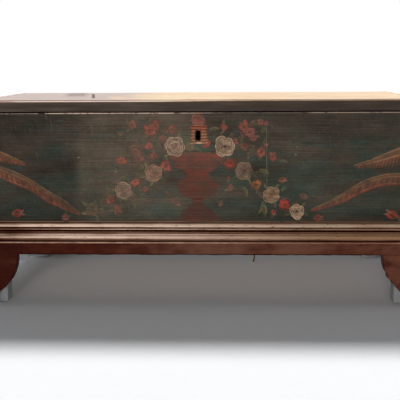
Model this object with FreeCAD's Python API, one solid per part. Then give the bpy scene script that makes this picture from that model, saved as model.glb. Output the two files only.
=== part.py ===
"""A lift-lid chest on bracket feet: dovetailed box, mitred mouldings, plinth, iron lock, hinges, handles.

Millimetres. +Z is up, -Y is the front, and the origin is on the floor under the middle of the chest.
"""

import FreeCAD, Part
import math
import os

from FreeCAD import Rotation, Vector

# ---------------------------------------------------------------- driving sizes
# The dovetailed box
BOX_WIDTH = 1196.0
BOX_DEPTH = 562.0
BOX_HEIGHT = 357.0
BOARD = 24.0                    # thickness of the four walls
TAILS = 6                       # dovetails at each corner
PIN_TIP = 10.0                  # width of a pin at the outer face
PIN_SLOPE = 1 / 6
RIM_CHAMFER = 1.6
BOTTOM_THICK = 20.0
BOTTOM_PLANKS = 3
REBATE = 12.0                   # how far the bottom is let into the walls
PLANK_GAP = 1.0
PLANK_PLAY = 0.3
PLANK_NAILS = (0.25, 0.75)      # places of two nails across a plank, as shares of its width

# The till, an open tray across the left end
TILL_WIDTH = 150.0
TILL_HEIGHT = 120.0
TILL_BELOW_RIM = 20.0
TILL_BOARD = 12.0
HOUSING = 6.0                   # depth of the grooves that hold the till

# The plinth frame and its bracket feet
FOOT_HEIGHT = 150.0
RAIL_HEIGHT = 38.0
RAIL_REACH = 27.0               # how far the rails stand out from the box
RAIL_BEARING = 35.0             # how far they run in under it
RAIL_ARRIS = 2.0
FOOT_SETBACK = 3.0              # foot face behind rail face
FOOT_BOARD = 28.0
FOOT_REACH = 114.0              # width of a bracket at its knee
FOOT_FLARE = 6.0                # hollow where the bracket meets the rail
KNEE_RADIUS = 122.0
KNEE_TURN = 57.0                # degrees that the knee turns before the ankle
ANKLE_RADIUS = 24.0
REAR_FOOT_BOARD = 20.0
REAR_FOOT_TOP = 110.0
REAR_FOOT_TIP = 55.0
BLOCK = 45.0                    # square glue block in each foot
BLOCK_LIFT = 5.0                # it stops this far above the floor

# Lower moulding: underside round, flat, ovolo, fillet, cove
LOWER_REACH = 24.0
LOWER_UNDER = 7.0
LOWER_FLAT = 4.0
OVOLO = 6.0
LOWER_FILLET = 3.0
FILLET_SET = 1.0
COVE = 8.0
LOWER_TOP = 1.0

# Upper moulding: recess, bead, quirk, rounded nose
RECESS_REACH = 9.0
RECESS_HEIGHT = 2.0
BEAD = 2.8                      # radius
BEAD_REACH = 16.5
QUIRK_REACH = 12.0
QUIRK_HEIGHT = 2.4
NOSE = 11.0                     # radius
NOSE_REACH = 16.0

# The lid
LID_THICK = 30.0
LID_FRONT = 8.0                 # overhang in front
LID_END = 27.0                  # overhang at each end
LID_PLANKS = 3
LID_REST = 0.3                  # daylight between lid and rim
LID_TOP_ARRIS = 4.0
LID_LOW_ARRIS = 1.6
CLEAT_HEIGHT = 34.0
CLEAT_PLAY = 2.0                # between cleat and box wall
CLEAT_SET_IN = 6.0              # cleat ends behind the lid's edges
CLEAT_BEVEL = 12.0

# Strap hinges
HINGE_X = 380.0
STRAP_THICK = 3.0
STRAP_LENGTH = 330.0
STRAP_ROOT = 28.0               # width at the knuckle
STRAP_NECK = 16.0               # width before the leaf
LEAF_WIDTH = 44.0
LEAF_LENGTH = 70.0
LEAF_SHOULDER = (0.86, 0.14)    # points of the leaf's outline: shares of its half width and its length
LEAF_BELLY = 0.42
LEAF_TIP = (0.66, 0.78)
STRAP_NAILS = 4
STRAP_NAILS_FROM = 60.0         # first nail in front of the hinge's axis
KNUCKLE = 6.5                   # outer radius
KNUCKLE_SIDE = 16.0             # length of each outer knuckle
KNUCKLE_PLAY = 0.4
KNUCKLE_ROOM = 1.2              # notch in the back plate below the strap's knuckle
HINGE_PIN = 3.0                 # radius
PIN_PLAY = 0.06
PIN_HEAD = 5.0
PIN_HEAD_THICK = 2.5
HINGE_OFF = 0.5                 # knuckle clear of the box
PLATE_DROP = 105.0
PLATE_POINT = 26.0
PLATE_NAILS_BELOW = 26.0        # upper nails below the hinge's axis
NOTCH_PLAY = 1.0

# The lock, on the inside of the front board
LOCK_WIDTH = 120.0
LOCK_HEIGHT = 95.0
LOCK_DEPTH = 20.0
LOCK_WALL = 3.0
LOCK_SINK = 0.5                 # top of the case below the rim
KEYHOLE_WIDTH = 13.0
KEYHOLE_HEIGHT = 28.0
KEYHOLE_BELOW_RIM = 52.0
HASP_WIDTH = 64.0
HASP_THICK = 2.5
STAPLE_DROP = 29.0
STAPLE_THICK = 6.0
STAPLE_PLAY = 1.0
EYE_WIDTH = 8.6
EYE_HEIGHT = 15.0
EYE_FLOOR = 4.5
BOLT_THICK = 7.0
BOLT_HEIGHT = 12.0
BOLT_LENGTH = 40.0
BOLT_FROM_STAPLE = 2.0
BOLT_THROW = 14.0
BOLT_LIFT = 1.5                 # bolt above the floor of the staple's eye
TALON_WIDTH = 12.0
TALON_HEIGHT = 10.0
LEDGE_HEIGHT = 7.0
LEDGE_PLAY = 0.2
LEDGE_SET = 1.0                 # front of the ledge behind the staple's middle
LOCK_NAILS_BELOW = 14.4         # upper nails below the top of the case

# Carrying handles
HANDLE_BELOW_RIM = 135.0
HANDLE_PLATE = 3.0
HANDLE_LENGTH = 150.0
HANDLE_WIDTH = 34.0
EAR_SPACING = 90.0
EAR_THICK = 7.0
EAR_RADIUS = 8.5
EAR_OUT = 8.0                   # pivot from the plate
PLATE_END_BOW = 0.35            # half width halfway along the plate's pointed ends, as a share
BAIL_RADIUS = 4.5
BAIL_PLAY = 0.06
BAIL_HALF = 56.0
BAIL_DROP = 62.0
BAIL_BEND = 7.0
BAIL_SWEEP = 30.0
BAIL_TAIL = 9.5                 # how far the ends run past the ears
BAIL_HEAD = 6.2
BAIL_HEAD_THICK = 2.0

# Forged nails: square shanks, low faceted heads
NAIL = 3.0
HEAD = 9.0
HEAD_RISE = 2.4
SMALL_HEAD = 4.0
SMALL_RISE = 1.0
FLUSH_HEAD = 6.0                # sunk heads, level with their surface
FLUSH_DEPTH = 2.5
LID_NAIL_LENGTH = 55.0
IRON_NAIL_LENGTH = 20.0
BOTTOM_NAIL_LENGTH = 45.0
MOULDING_NAILS = 7
END_NAILS = (0.12, 0.5, 0.88)   # along the ends, as shares of the depth
MOULDING_NAIL_BITE = 9.6        # how deep they go into the walls
STRAY_NAIL = 2.2                # radius
STRAY_NAIL_X = 155.0
STRAY_NAIL_IN = 16.0
STRAY_NAIL_OUT = 20.0
STRAY_NAIL_LEAN = 3.0
STRAY_NAIL_SET = 6.6            # its middle behind the rail's face

# ---------------------------------------------------------------- derived places
HALF = BOX_WIDTH / 2
HINGE_BEHIND = 2 * KNUCKLE + HINGE_OFF
FRONT = (RAIL_REACH - HINGE_BEHIND - BOX_DEPTH) / 2
BACK = FRONT + BOX_DEPTH
INNER_X = HALF - BOARD
INNER_FRONT = FRONT + BOARD
INNER_BACK = BACK - BOARD
RAIL_TOP = FOOT_HEIGHT + RAIL_HEIGHT
RIM = RAIL_TOP + BOX_HEIGHT
FLOOR_TOP = RAIL_TOP + BOTTOM_THICK
LOWER_HEIGHT = LOWER_UNDER + LOWER_FLAT + OVOLO + LOWER_FILLET + COVE + LOWER_TOP
UPPER_FROM = RAIL_TOP + LOWER_HEIGHT
LID_UNDER = RIM + LID_REST
LID_TOP = LID_UNDER + LID_THICK
LID_HALF = HALF + LID_END
LID_FRONT_Y = FRONT - LID_FRONT
AXIS_Y = BACK + HINGE_OFF + KNUCKLE
AXIS_Z = LID_UNDER - KNUCKLE
LOCK_TOP = RIM - LOCK_SINK
LOCK_BACK = INNER_FRONT + LOCK_DEPTH
LOCK_INSIDE = LOCK_BACK - LOCK_WALL
STAPLE_Y = (INNER_FRONT + LOCK_INSIDE) / 2
STAPLE_HALF = (LOCK_INSIDE - INNER_FRONT) / 2 - STAPLE_PLAY
STAPLE_FOOT = LID_UNDER - STAPLE_DROP
BOLT_FOOT = STAPLE_FOOT + EYE_FLOOR + BOLT_LIFT
KEYHOLE_TOP = RIM - KEYHOLE_BELOW_RIM
HANDLE_Z = RIM - HANDLE_BELOW_RIM
PIVOT_X = HALF + HANDLE_PLATE + EAR_OUT
FOOT_FACE = RAIL_REACH - FOOT_SETBACK
MOULDING_NAIL_LENGTH = LOWER_REACH + MOULDING_NAIL_BITE


# ---------------------------------------------------------------- small tools
def box(x0, x1, y0, y1, z0, z1):
    """A block between two corners, whichever way round they are given."""
    low = Vector(min(x0, x1), min(y0, y1), min(z0, z1))
    return Part.makeBox(abs(x1 - x0), abs(y1 - y0), abs(z1 - z0), low)


def outline(place, start, *steps):
    """A closed face: a step is an end point, or a (middle, end) pair for an arc."""
    edges = []
    here = start
    for step in steps + (start,):
        if isinstance(step[0], tuple):
            middle, there = step
            edges.append(Part.Arc(place(here), place(middle), place(there)).toShape())
        else:
            there = step
            if math.dist(here, there) > 1e-7:
                edges.append(Part.makeLine(place(here), place(there)))
        here = there
    return Part.Face(Part.Wire(edges))


def arc_to(centre, radius, mid_angle, end_angle):
    """The (middle, end) pair of an arc about a centre, from angles in degrees."""
    def on(angle):
        turn = math.radians(angle)
        return (centre[0] + radius * math.cos(turn), centre[1] + radius * math.sin(turn))
    return (on(mid_angle), on(end_angle))


def plan(z0, z1, *points):
    """An upright prism over points in plan."""
    face = outline(lambda p: Vector(p[0], p[1], z0), *points)
    return face.extrude(Vector(0, 0, z1 - z0))


def cylinder(radius, length, start, direction):
    return Part.makeCylinder(radius, length, start, direction)


def rod(radius, edges):
    """A round bar along a path of edges, its first edge straight."""
    path = Part.Wire(edges)
    first = edges[0]
    start = first.Vertexes[0].Point
    section = Part.makeCircle(radius, start, first.Vertexes[1].Point - start)
    return path.makePipeShell([Part.Wire(section)], True, True)


def whole(shape):
    """A fused shape as one clean solid."""
    clean = shape.removeSplitter()
    return clean.Solids[0] if len(clean.Solids) == 1 else clean


def nail_shank(point, outward, length):
    """The square hole a nail fills, from the surface point inwards."""
    shank = Part.makeBox(NAIL, length, NAIL, Vector(-NAIL / 2, -length, -NAIL / 2))
    shank.Placement = FreeCAD.Placement(point, Rotation(Vector(0, 1, 0), outward))
    return shank


def nail(point, outward, length, head=HEAD, rise=HEAD_RISE):
    """A forged nail with its head on the surface point."""
    half, tip = head / 2, head / 6
    cap = Part.makeWedge(-half, 0, -half, -tip, -tip, half, rise, half, tip, tip)
    cap.Placement = FreeCAD.Placement(point, Rotation(Vector(0, 1, 0), outward))
    return whole(nail_shank(point, outward, length).fuse(cap))


def flush_nail(point, outward, length):
    """A nail with its head sunk level with the surface point."""
    half = NAIL / 2
    wide = FLUSH_HEAD / 2
    sunk = Part.makeWedge(-half, -FLUSH_DEPTH, -half, -wide, -wide, half, 0, half, wide, wide)
    sunk.Placement = FreeCAD.Placement(point, Rotation(Vector(0, 1, 0), outward))
    return whole(nail_shank(point, outward, length).fuse(sunk))


def export(name, shape):
    """One STEP file for one piece, or for a group of like pieces."""
    if isinstance(shape, list):
        shape = Part.makeCompound(shape)
    shape.exportStep(f"parts/{name}.step")
    print(f"{name:28s} solids {len(shape.Solids)}  volume {shape.Volume / 1000:9.2f} cm3")


def both_sides():
    return (("left", -1), ("right", 1))


# ---------------------------------------------------------------- the dovetailed box
def corner_pins(side, y0, y1):
    """The pins of one corner, cut across the thickness of the front or back board."""
    pitch = BOX_HEIGHT / TAILS
    spread = PIN_SLOPE * BOARD
    solids = []
    for n in range(TAILS + 1):
        middle = RAIL_TOP + n * pitch
        low_tip, high_tip = middle - PIN_TIP / 2, middle + PIN_TIP / 2
        low_root, high_root = low_tip - spread, high_tip + spread
        if n == 0:
            low_tip = low_root = RAIL_TOP
        if n == TAILS:
            high_tip = high_root = RIM
        face = outline(
            lambda p: Vector(side * p[0], y0, p[1]),
            (INNER_X, low_root), (HALF, low_tip), (HALF, high_tip), (INNER_X, high_root))
        solids.append(face.extrude(Vector(0, y1 - y0, 0)))
    return solids


def bottom_space():
    """The rebated space that the bottom planks fill."""
    return box(-INNER_X - REBATE, INNER_X + REBATE,
               INNER_FRONT - REBATE, INNER_BACK + REBATE, RAIL_TOP, FLOOR_TOP)


def long_board(y0, y1):
    """Front or back board with its tails, rebated for the bottom."""
    board = box(-HALF, HALF, y0, y1, RAIL_TOP, RIM)
    for side in (-1, 1):
        board = board.cut(Part.makeCompound(corner_pins(side, y0, y1)))
    return board.cut(bottom_space())


def end_board(side):
    """An end board with its pins at both edges."""
    board = box(side * INNER_X, side * HALF, INNER_FRONT, INNER_BACK, RAIL_TOP, RIM)
    board = board.multiFuse(
        corner_pins(side, FRONT, INNER_FRONT) + corner_pins(side, INNER_BACK, BACK))
    return whole(board.cut(bottom_space()))


def keyhole():
    """A round-ended slot through the front board."""
    r = KEYHOLE_WIDTH / 2
    low = KEYHOLE_TOP - KEYHOLE_HEIGHT + r
    high = KEYHOLE_TOP - r
    face = outline(lambda p: Vector(p[0], FRONT, p[1]),
                   (-r, low), arc_to((0, low), r, 270, 360), (r, high),
                   arc_to((0, high), r, 90, 180))
    return face.extrude(Vector(0, BOARD, 0))


def rim_chamfer():
    """The worn arris along the top of the front board."""
    face = outline(lambda p: Vector(-HALF, FRONT + p[0], RIM - p[1]),
                   (0, 0), (RIM_CHAMFER, 0), (0, RIM_CHAMFER))
    return face.extrude(Vector(BOX_WIDTH, 0, 0))


def bottom_planks():
    """Loose planks across the width, with a gap between them for movement."""
    y0 = INNER_FRONT - REBATE + PLANK_PLAY
    y1 = INNER_BACK + REBATE - PLANK_PLAY
    x = INNER_X + REBATE - PLANK_PLAY
    width = (y1 - y0 - (BOTTOM_PLANKS - 1) * PLANK_GAP) / BOTTOM_PLANKS
    starts = [y0 + n * (width + PLANK_GAP) for n in range(BOTTOM_PLANKS)]
    return [box(-x, x, y, y + width, RAIL_TOP, FLOOR_TOP) for y in starts]


def bottom_nail_points():
    """Two nails at each end of each plank, down into the end rails."""
    width = (INNER_BACK - INNER_FRONT) / BOTTOM_PLANKS
    x = (INNER_X + HALF - RAIL_BEARING) / 2
    return [Vector(side * x, INNER_FRONT + (n + share) * width, FLOOR_TOP)
            for side in (-1, 1) for n in range(BOTTOM_PLANKS) for share in PLANK_NAILS]


def till():
    """The till's wall and floor, housed in the front and back boards. The tongues stop short of the end."""
    top = RIM - TILL_BELOW_RIM
    foot = top - TILL_HEIGHT
    wall_x = -INNER_X + TILL_WIDTH
    y0, y1 = INNER_FRONT - HOUSING, INNER_BACK + HOUSING
    wall = box(wall_x, wall_x + TILL_BOARD, y0, y1, foot, top)
    floor = box(-INNER_X, wall_x, INNER_FRONT, INNER_BACK, foot, foot + TILL_BOARD)
    tongues = box(-INNER_X + HOUSING, wall_x, y0, y1, foot, foot + TILL_BOARD)
    return wall, whole(floor.fuse(tongues))


# ---------------------------------------------------------------- mitred runs
def front_run(inner, outer, *section):
    """A section of (reach, height) points carried along the front, mitred at both ends."""
    far = HALF + outer
    face = outline(lambda p: Vector(-far, FRONT - p[0], p[1]), *section)
    wedge = plan(0, RIM, (-far, FRONT - outer), (far, FRONT - outer),
                 (HALF + inner, FRONT - inner), (-HALF - inner, FRONT - inner))
    return face.extrude(Vector(2 * far, 0, 0)).common(wedge).Solids[0]


def end_run(side, inner, outer, *section):
    """The same section carried along one end, from its mitre to the back."""
    face = outline(lambda p: Vector(side * (HALF + p[0]), FRONT - outer, p[1]), *section)
    wedge = plan(0, RIM, (side * (HALF + outer), FRONT - outer), (side * (HALF + outer), BACK),
                 (side * (HALF + inner), BACK), (side * (HALF + inner), FRONT - inner))
    return face.extrude(Vector(0, BOX_DEPTH + outer, 0)).common(wedge).Solids[0]


def lower_section():
    z = RAIL_TOP
    flat_top = z + LOWER_UNDER + LOWER_FLAT
    ovolo_top = flat_top + OVOLO
    cove_foot = ovolo_top + LOWER_FILLET
    step = LOWER_REACH - OVOLO - FILLET_SET
    return (
        (0, z), (LOWER_REACH - LOWER_UNDER, z),
        arc_to((LOWER_REACH - LOWER_UNDER, z + LOWER_UNDER), LOWER_UNDER, -45, 0),
        (LOWER_REACH, flat_top),
        arc_to((LOWER_REACH - OVOLO, flat_top), OVOLO, 45, 90),
        (step, ovolo_top), (step, cove_foot),
        arc_to((step, cove_foot + COVE), COVE, 225, 180),
        (step - COVE, UPPER_FROM), (0, UPPER_FROM))


def upper_section():
    z = UPPER_FROM
    bead_foot = z + RECESS_HEIGHT
    bead_x = BEAD_REACH - BEAD
    quirk_foot = bead_foot + 2 * BEAD
    quirk_top = quirk_foot + QUIRK_HEIGHT
    nose_top = quirk_top + NOSE
    return (
        (0, z), (RECESS_REACH, z), (RECESS_REACH, bead_foot), (bead_x, bead_foot),
        arc_to((bead_x, bead_foot + BEAD), BEAD, 0, 90),
        (QUIRK_REACH, quirk_foot), (QUIRK_REACH, quirk_top), (NOSE_REACH, quirk_top),
        arc_to((NOSE_REACH - NOSE, quirk_top), NOSE, 45, 90),
        (0, nose_top))


def rail_section():
    return (
        (-RAIL_BEARING, FOOT_HEIGHT), (RAIL_REACH, FOOT_HEIGHT),
        (RAIL_REACH, RAIL_TOP - RAIL_ARRIS),
        arc_to((RAIL_REACH - RAIL_ARRIS, RAIL_TOP - RAIL_ARRIS), RAIL_ARRIS, 45, 90),
        (-RAIL_BEARING, RAIL_TOP))


def moulding_set(inner, outer, section):
    """Front, left and right lengths of one section."""
    pieces = {"front": front_run(inner, outer, *section)}
    for word, side in both_sides():
        pieces[word] = end_run(side, inner, outer, *section)
    return pieces


# ---------------------------------------------------------------- bracket feet
def bracket_outline(place):
    """The bracket's face, as (distance from the corner, height): hollow, knee, ankle, straight pad."""
    knee = (FOOT_REACH - KNEE_RADIUS, FOOT_HEIGHT - FOOT_FLARE)
    turn = math.radians(KNEE_TURN)
    span = KNEE_RADIUS + ANKLE_RADIUS
    ankle = (knee[0] + span * math.cos(turn), knee[1] - span * math.sin(turn))
    return outline(
        place, (0, 0), (0, FOOT_HEIGHT), (FOOT_REACH + FOOT_FLARE, FOOT_HEIGHT),
        arc_to((FOOT_REACH + FOOT_FLARE, knee[1]), FOOT_FLARE, 135, 180),
        arc_to(knee, KNEE_RADIUS, -KNEE_TURN / 2, -KNEE_TURN),
        arc_to(ankle, ANKLE_RADIUS, 180 - KNEE_TURN / 2, 180),
        (ankle[0] - ANKLE_RADIUS, 0))


def front_foot(side):
    """The front bracket of a front corner, mitred."""
    corner = HALF + FOOT_FACE
    far = corner - 2 * FOOT_REACH
    face = bracket_outline(lambda p: Vector(side * (corner - p[0]), FRONT - FOOT_FACE, p[1]))
    wedge = plan(0, FOOT_HEIGHT, (side * corner, FRONT - FOOT_FACE), (side * far, FRONT - FOOT_FACE),
                 (side * far, FRONT - FOOT_FACE + FOOT_BOARD),
                 (side * (corner - FOOT_BOARD), FRONT - FOOT_FACE + FOOT_BOARD))
    return face.extrude(Vector(0, FOOT_BOARD, 0)).common(wedge).Solids[0]


def end_foot_front(side):
    """The end bracket of a front corner, mitred to the front one."""
    corner = HALF + FOOT_FACE
    nose = FRONT - FOOT_FACE
    far = nose + 2 * FOOT_REACH
    face = bracket_outline(lambda p: Vector(side * corner, nose + p[0], p[1]))
    wedge = plan(0, FOOT_HEIGHT, (side * corner, nose), (side * corner, far),
                 (side * (corner - FOOT_BOARD), far),
                 (side * (corner - FOOT_BOARD), nose + FOOT_BOARD))
    return face.extrude(Vector(-side * FOOT_BOARD, 0, 0)).common(wedge).Solids[0]


def end_foot_rear(side):
    """The end bracket of a rear corner, square at the back."""
    face = bracket_outline(lambda p: Vector(side * (HALF + FOOT_FACE), BACK - p[0], p[1]))
    return face.extrude(Vector(-side * FOOT_BOARD, 0, 0))


def back_foot(side):
    """The plain tapered board behind a rear bracket."""
    inside = HALF + FOOT_FACE - FOOT_BOARD
    face = outline(lambda p: Vector(side * (inside - p[0]), BACK, p[1]),
                   (0, 0), (REAR_FOOT_TIP, 0), (REAR_FOOT_TOP, FOOT_HEIGHT), (0, FOOT_HEIGHT))
    return face.extrude(Vector(0, -REAR_FOOT_BOARD, 0))


def corner_block(side, rear):
    """The glue block inside a foot."""
    inside = HALF + FOOT_FACE - FOOT_BOARD
    y = BACK - REAR_FOOT_BOARD - BLOCK if rear else FRONT - FOOT_FACE + FOOT_BOARD
    return box(side * inside, side * (inside - BLOCK), y, y + BLOCK, BLOCK_LIFT, FOOT_HEIGHT)


# ---------------------------------------------------------------- the lid
def lid_planks():
    """Long planks, the front one with worn arrises."""
    width = (BACK - LID_FRONT_Y) / LID_PLANKS
    y = LID_FRONT_Y
    top, low = LID_TOP_ARRIS, LID_LOW_ARRIS
    face = outline(
        lambda p: Vector(-LID_HALF, y + p[0], LID_UNDER + p[1]),
        (low, 0), (width, 0), (width, LID_THICK), (top, LID_THICK),
        arc_to((top, LID_THICK - top), top, 135, 180), (0, low),
        arc_to((low, low), low, 225, 270))
    planks = [face.extrude(Vector(2 * LID_HALF, 0, 0))]
    for n in range(1, LID_PLANKS):
        planks.append(box(-LID_HALF, LID_HALF, y + n * width, y + (n + 1) * width,
                          LID_UNDER, LID_TOP))
    return planks


def cleat(side):
    """The batten under one end of the lid, outside the box, its front end bevelled."""
    y0, y1 = LID_FRONT_Y + CLEAT_SET_IN, BACK - CLEAT_SET_IN
    face = outline(
        lambda p: Vector(side * (HALF + CLEAT_PLAY), p[0], LID_UNDER - p[1]),
        (y0, 0), (y1, 0), (y1, CLEAT_HEIGHT), (y0 + CLEAT_BEVEL, CLEAT_HEIGHT),
        (y0, CLEAT_HEIGHT - CLEAT_BEVEL))
    return face.extrude(Vector(side * (LID_END - CLEAT_PLAY), 0, 0))


def cleat_nail_points():
    """Two nails through each lid plank at each end."""
    width = (BACK - LID_FRONT_Y) / LID_PLANKS
    x = HALF + CLEAT_PLAY + (LID_END - CLEAT_PLAY) / 2
    return [Vector(side * x, LID_FRONT_Y + (n + share) * width, LID_TOP)
            for side in (-1, 1) for n in range(LID_PLANKS) for share in PLANK_NAILS]


# ---------------------------------------------------------------- hinges
def strap_outline(x):
    """Plan of a lid strap: a taper from the knuckle that ends in a pointed leaf."""
    root, neck, leaf = STRAP_ROOT / 2, STRAP_NECK / 2, LEAF_WIDTH / 2
    base = STRAP_LENGTH - LEAF_LENGTH

    def on_leaf(side, across, along):
        return (side * leaf * across, base + LEAF_LENGTH * along)

    return outline(
        lambda p: Vector(x + p[0], AXIS_Y - p[1], LID_UNDER - STRAP_THICK),
        (-root, 0), (root, 0), (neck, base),
        (on_leaf(1, *LEAF_SHOULDER), on_leaf(1, 1, LEAF_BELLY)),
        (on_leaf(1, *LEAF_TIP), (0, STRAP_LENGTH)),
        (on_leaf(-1, *LEAF_TIP), on_leaf(-1, 1, LEAF_BELLY)),
        (on_leaf(-1, *LEAF_SHOULDER), (-neck, base)))


def knuckle(x0, x1, bore):
    """A rolled eye about the hinge axis."""
    start = Vector(x0, AXIS_Y, AXIS_Z)
    along = Vector(1, 0, 0)
    eye = cylinder(KNUCKLE, x1 - x0, start, along)
    return eye.cut(cylinder(bore, x1 - x0, start, along))


def lid_strap(x):
    strap = strap_outline(x).extrude(Vector(0, 0, STRAP_THICK))
    half = STRAP_ROOT / 2
    hole = cylinder(HINGE_PIN + PIN_PLAY, STRAP_ROOT, Vector(x - half, AXIS_Y, AXIS_Z), Vector(1, 0, 0))
    return whole(strap.fuse(knuckle(x - half, x + half, HINGE_PIN + PIN_PLAY)).cut(hole))


def hinge_plate(x):
    """The plate on the back board, with the two outer knuckles."""
    inner = STRAP_ROOT / 2 + KNUCKLE_PLAY
    outer = inner + KNUCKLE_SIDE
    notch = AXIS_Z - KNUCKLE - KNUCKLE_ROOM
    shoulder = AXIS_Z - PLATE_DROP + PLATE_POINT
    face = outline(
        lambda p: Vector(x + p[0], BACK, p[1]),
        (-outer, AXIS_Z), (-outer, shoulder), (0, AXIS_Z - PLATE_DROP), (outer, shoulder),
        (outer, AXIS_Z), (inner, AXIS_Z), (inner, notch), (-inner, notch), (-inner, AXIS_Z))
    plate = face.extrude(Vector(0, STRAP_THICK, 0))
    plate = plate.fuse(knuckle(x - outer, x - inner, HINGE_PIN))
    plate = plate.fuse(knuckle(x + inner, x + outer, HINGE_PIN))
    hole = cylinder(HINGE_PIN, 2 * outer, Vector(x - outer, AXIS_Y, AXIS_Z), Vector(1, 0, 0))
    return whole(plate.cut(hole))


def hinge_pin(x):
    """The pin, headed at both ends so that it stays in."""
    outer = STRAP_ROOT / 2 + KNUCKLE_PLAY + KNUCKLE_SIDE
    along = Vector(1, 0, 0)
    pin = cylinder(HINGE_PIN, 2 * outer, Vector(x - outer, AXIS_Y, AXIS_Z), along)
    for end in (x - outer - PIN_HEAD_THICK, x + outer):
        pin = pin.fuse(cylinder(PIN_HEAD, PIN_HEAD_THICK, Vector(end, AXIS_Y, AXIS_Z), along))
    return whole(pin)


def strap_notch(x):
    """The notch in the rim of the back board that a strap lies in."""
    half = STRAP_ROOT / 2 + NOTCH_PLAY
    return box(x - half, x + half, INNER_BACK, BACK, LID_UNDER - STRAP_THICK - NOTCH_PLAY, RIM)


def strap_nail_points(x):
    last = STRAP_LENGTH - LEAF_LENGTH / 2
    spacing = (last - STRAP_NAILS_FROM) / (STRAP_NAILS - 1)
    return [Vector(x, AXIS_Y - STRAP_NAILS_FROM - n * spacing, LID_UNDER - STRAP_THICK)
            for n in range(STRAP_NAILS)]


def plate_nail_points(x):
    wide = STRAP_ROOT / 2
    top = AXIS_Z - PLATE_NAILS_BELOW
    low = AXIS_Z - PLATE_DROP + PLATE_POINT
    return [Vector(x + a, BACK + STRAP_THICK, z) for a, z in ((-wide, top), (wide, top), (0, low))]


# ---------------------------------------------------------------- the lock
def lock_case():
    """A shallow iron tray, open to the front board, with a slot for the staple."""
    half = LOCK_WIDTH / 2
    low = LOCK_TOP - LOCK_HEIGHT
    case = box(-half, half, INNER_FRONT, LOCK_BACK, low, LOCK_TOP)
    case = case.cut(box(-half + LOCK_WALL, half - LOCK_WALL, INNER_FRONT, LOCK_INSIDE,
                        low + LOCK_WALL, LOCK_TOP - LOCK_WALL))
    gate = STAPLE_THICK / 2 + STAPLE_PLAY
    case = case.cut(box(-gate, gate, INNER_FRONT, LOCK_INSIDE, LOCK_TOP - LOCK_WALL, LOCK_TOP))
    ledge_top = BOLT_FOOT - LEDGE_PLAY
    ledge_front = STAPLE_Y + LEDGE_SET
    ledge = box(gate + STAPLE_PLAY, half - LOCK_WALL, ledge_front, LOCK_INSIDE,
                ledge_top - LEDGE_HEIGHT, ledge_top)
    return whole(case.fuse(ledge))


def lock_bolt():
    """The bolt beside the staple, with the talon that a key pushes."""
    y0, y1 = STAPLE_Y - BOLT_THICK / 2, STAPLE_Y + BOLT_THICK / 2
    x0 = STAPLE_THICK / 2 + BOLT_FROM_STAPLE
    bar = box(x0, x0 + BOLT_LENGTH, y0, y1, BOLT_FOOT, BOLT_FOOT + BOLT_HEIGHT)
    talon_x = x0 + BOLT_LENGTH / 2
    talon = box(talon_x, talon_x + TALON_WIDTH, y0, STAPLE_Y, BOLT_FOOT - TALON_HEIGHT, BOLT_FOOT)
    return whole(bar.fuse(talon))


def lock_hasp():
    """The plate let into the lid, with the eye that the bolt enters."""
    plate = hasp_plate()
    staple = box(-STAPLE_THICK / 2, STAPLE_THICK / 2, STAPLE_Y - STAPLE_HALF, STAPLE_Y + STAPLE_HALF,
                 STAPLE_FOOT, LID_UNDER)
    eye_foot = STAPLE_FOOT + EYE_FLOOR
    eye = box(-STAPLE_THICK, STAPLE_THICK, STAPLE_Y - EYE_WIDTH / 2, STAPLE_Y + EYE_WIDTH / 2,
              eye_foot, eye_foot + EYE_HEIGHT)
    return whole(plate.fuse(staple).cut(eye))


def hasp_plate():
    half = HASP_WIDTH / 2
    return box(-half, half, STAPLE_Y - STAPLE_HALF, STAPLE_Y + STAPLE_HALF,
               LID_UNDER, LID_UNDER + HASP_THICK)


def hasp_nail_points():
    """One sunk nail at each end of the plate, up into the lid."""
    return [Vector(side * (HASP_WIDTH / 2 - FLUSH_HEAD), STAPLE_Y, LID_UNDER) for side in (-1, 1)]


def lock_nail_points():
    half = LOCK_WIDTH / 2 - HEAD
    return [Vector(a * half, LOCK_BACK, z)
            for a in (-1, 1) for z in (LOCK_TOP - LOCK_NAILS_BELOW, LOCK_TOP - LOCK_HEIGHT + HEAD)]


# ---------------------------------------------------------------- handles
def handle_plate(side):
    """A plate with pinched, pointed ends and two bored ears."""
    long, wide = HANDLE_LENGTH / 2, HANDLE_WIDTH / 2
    pinch = EAR_SPACING / 2 + EAR_THICK
    halfway, bow = (pinch + long) / 2, wide * PLATE_END_BOW
    face = outline(
        lambda p: Vector(side * HALF, p[0], HANDLE_Z + p[1]),
        (-pinch, -wide), (pinch, -wide),
        ((halfway, -bow), (long, 0)), ((halfway, bow), (pinch, wide)), (-pinch, wide),
        ((-halfway, bow), (-long, 0)), ((-halfway, -bow), (-pinch, -wide)))
    plate = face.extrude(Vector(side * HANDLE_PLATE, 0, 0))
    for y in (-EAR_SPACING / 2, EAR_SPACING / 2):
        low = y - EAR_THICK / 2
        pivot = Vector(side * PIVOT_X, low, HANDLE_Z)
        ear = cylinder(EAR_RADIUS, EAR_THICK, pivot, Vector(0, 1, 0))
        ear = ear.fuse(box(side * HALF, side * PIVOT_X, low, low + EAR_THICK,
                           HANDLE_Z - EAR_RADIUS, HANDLE_Z + EAR_RADIUS))
        ear = ear.cut(box(0, side * HALF, -HANDLE_LENGTH, HANDLE_LENGTH,
                          HANDLE_Z - HANDLE_WIDTH, HANDLE_Z + HANDLE_WIDTH))
        bore = cylinder(BAIL_RADIUS + BAIL_PLAY, EAR_THICK, pivot, Vector(0, 1, 0))
        plate = plate.fuse(ear).cut(bore)
    return whole(plate)


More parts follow.
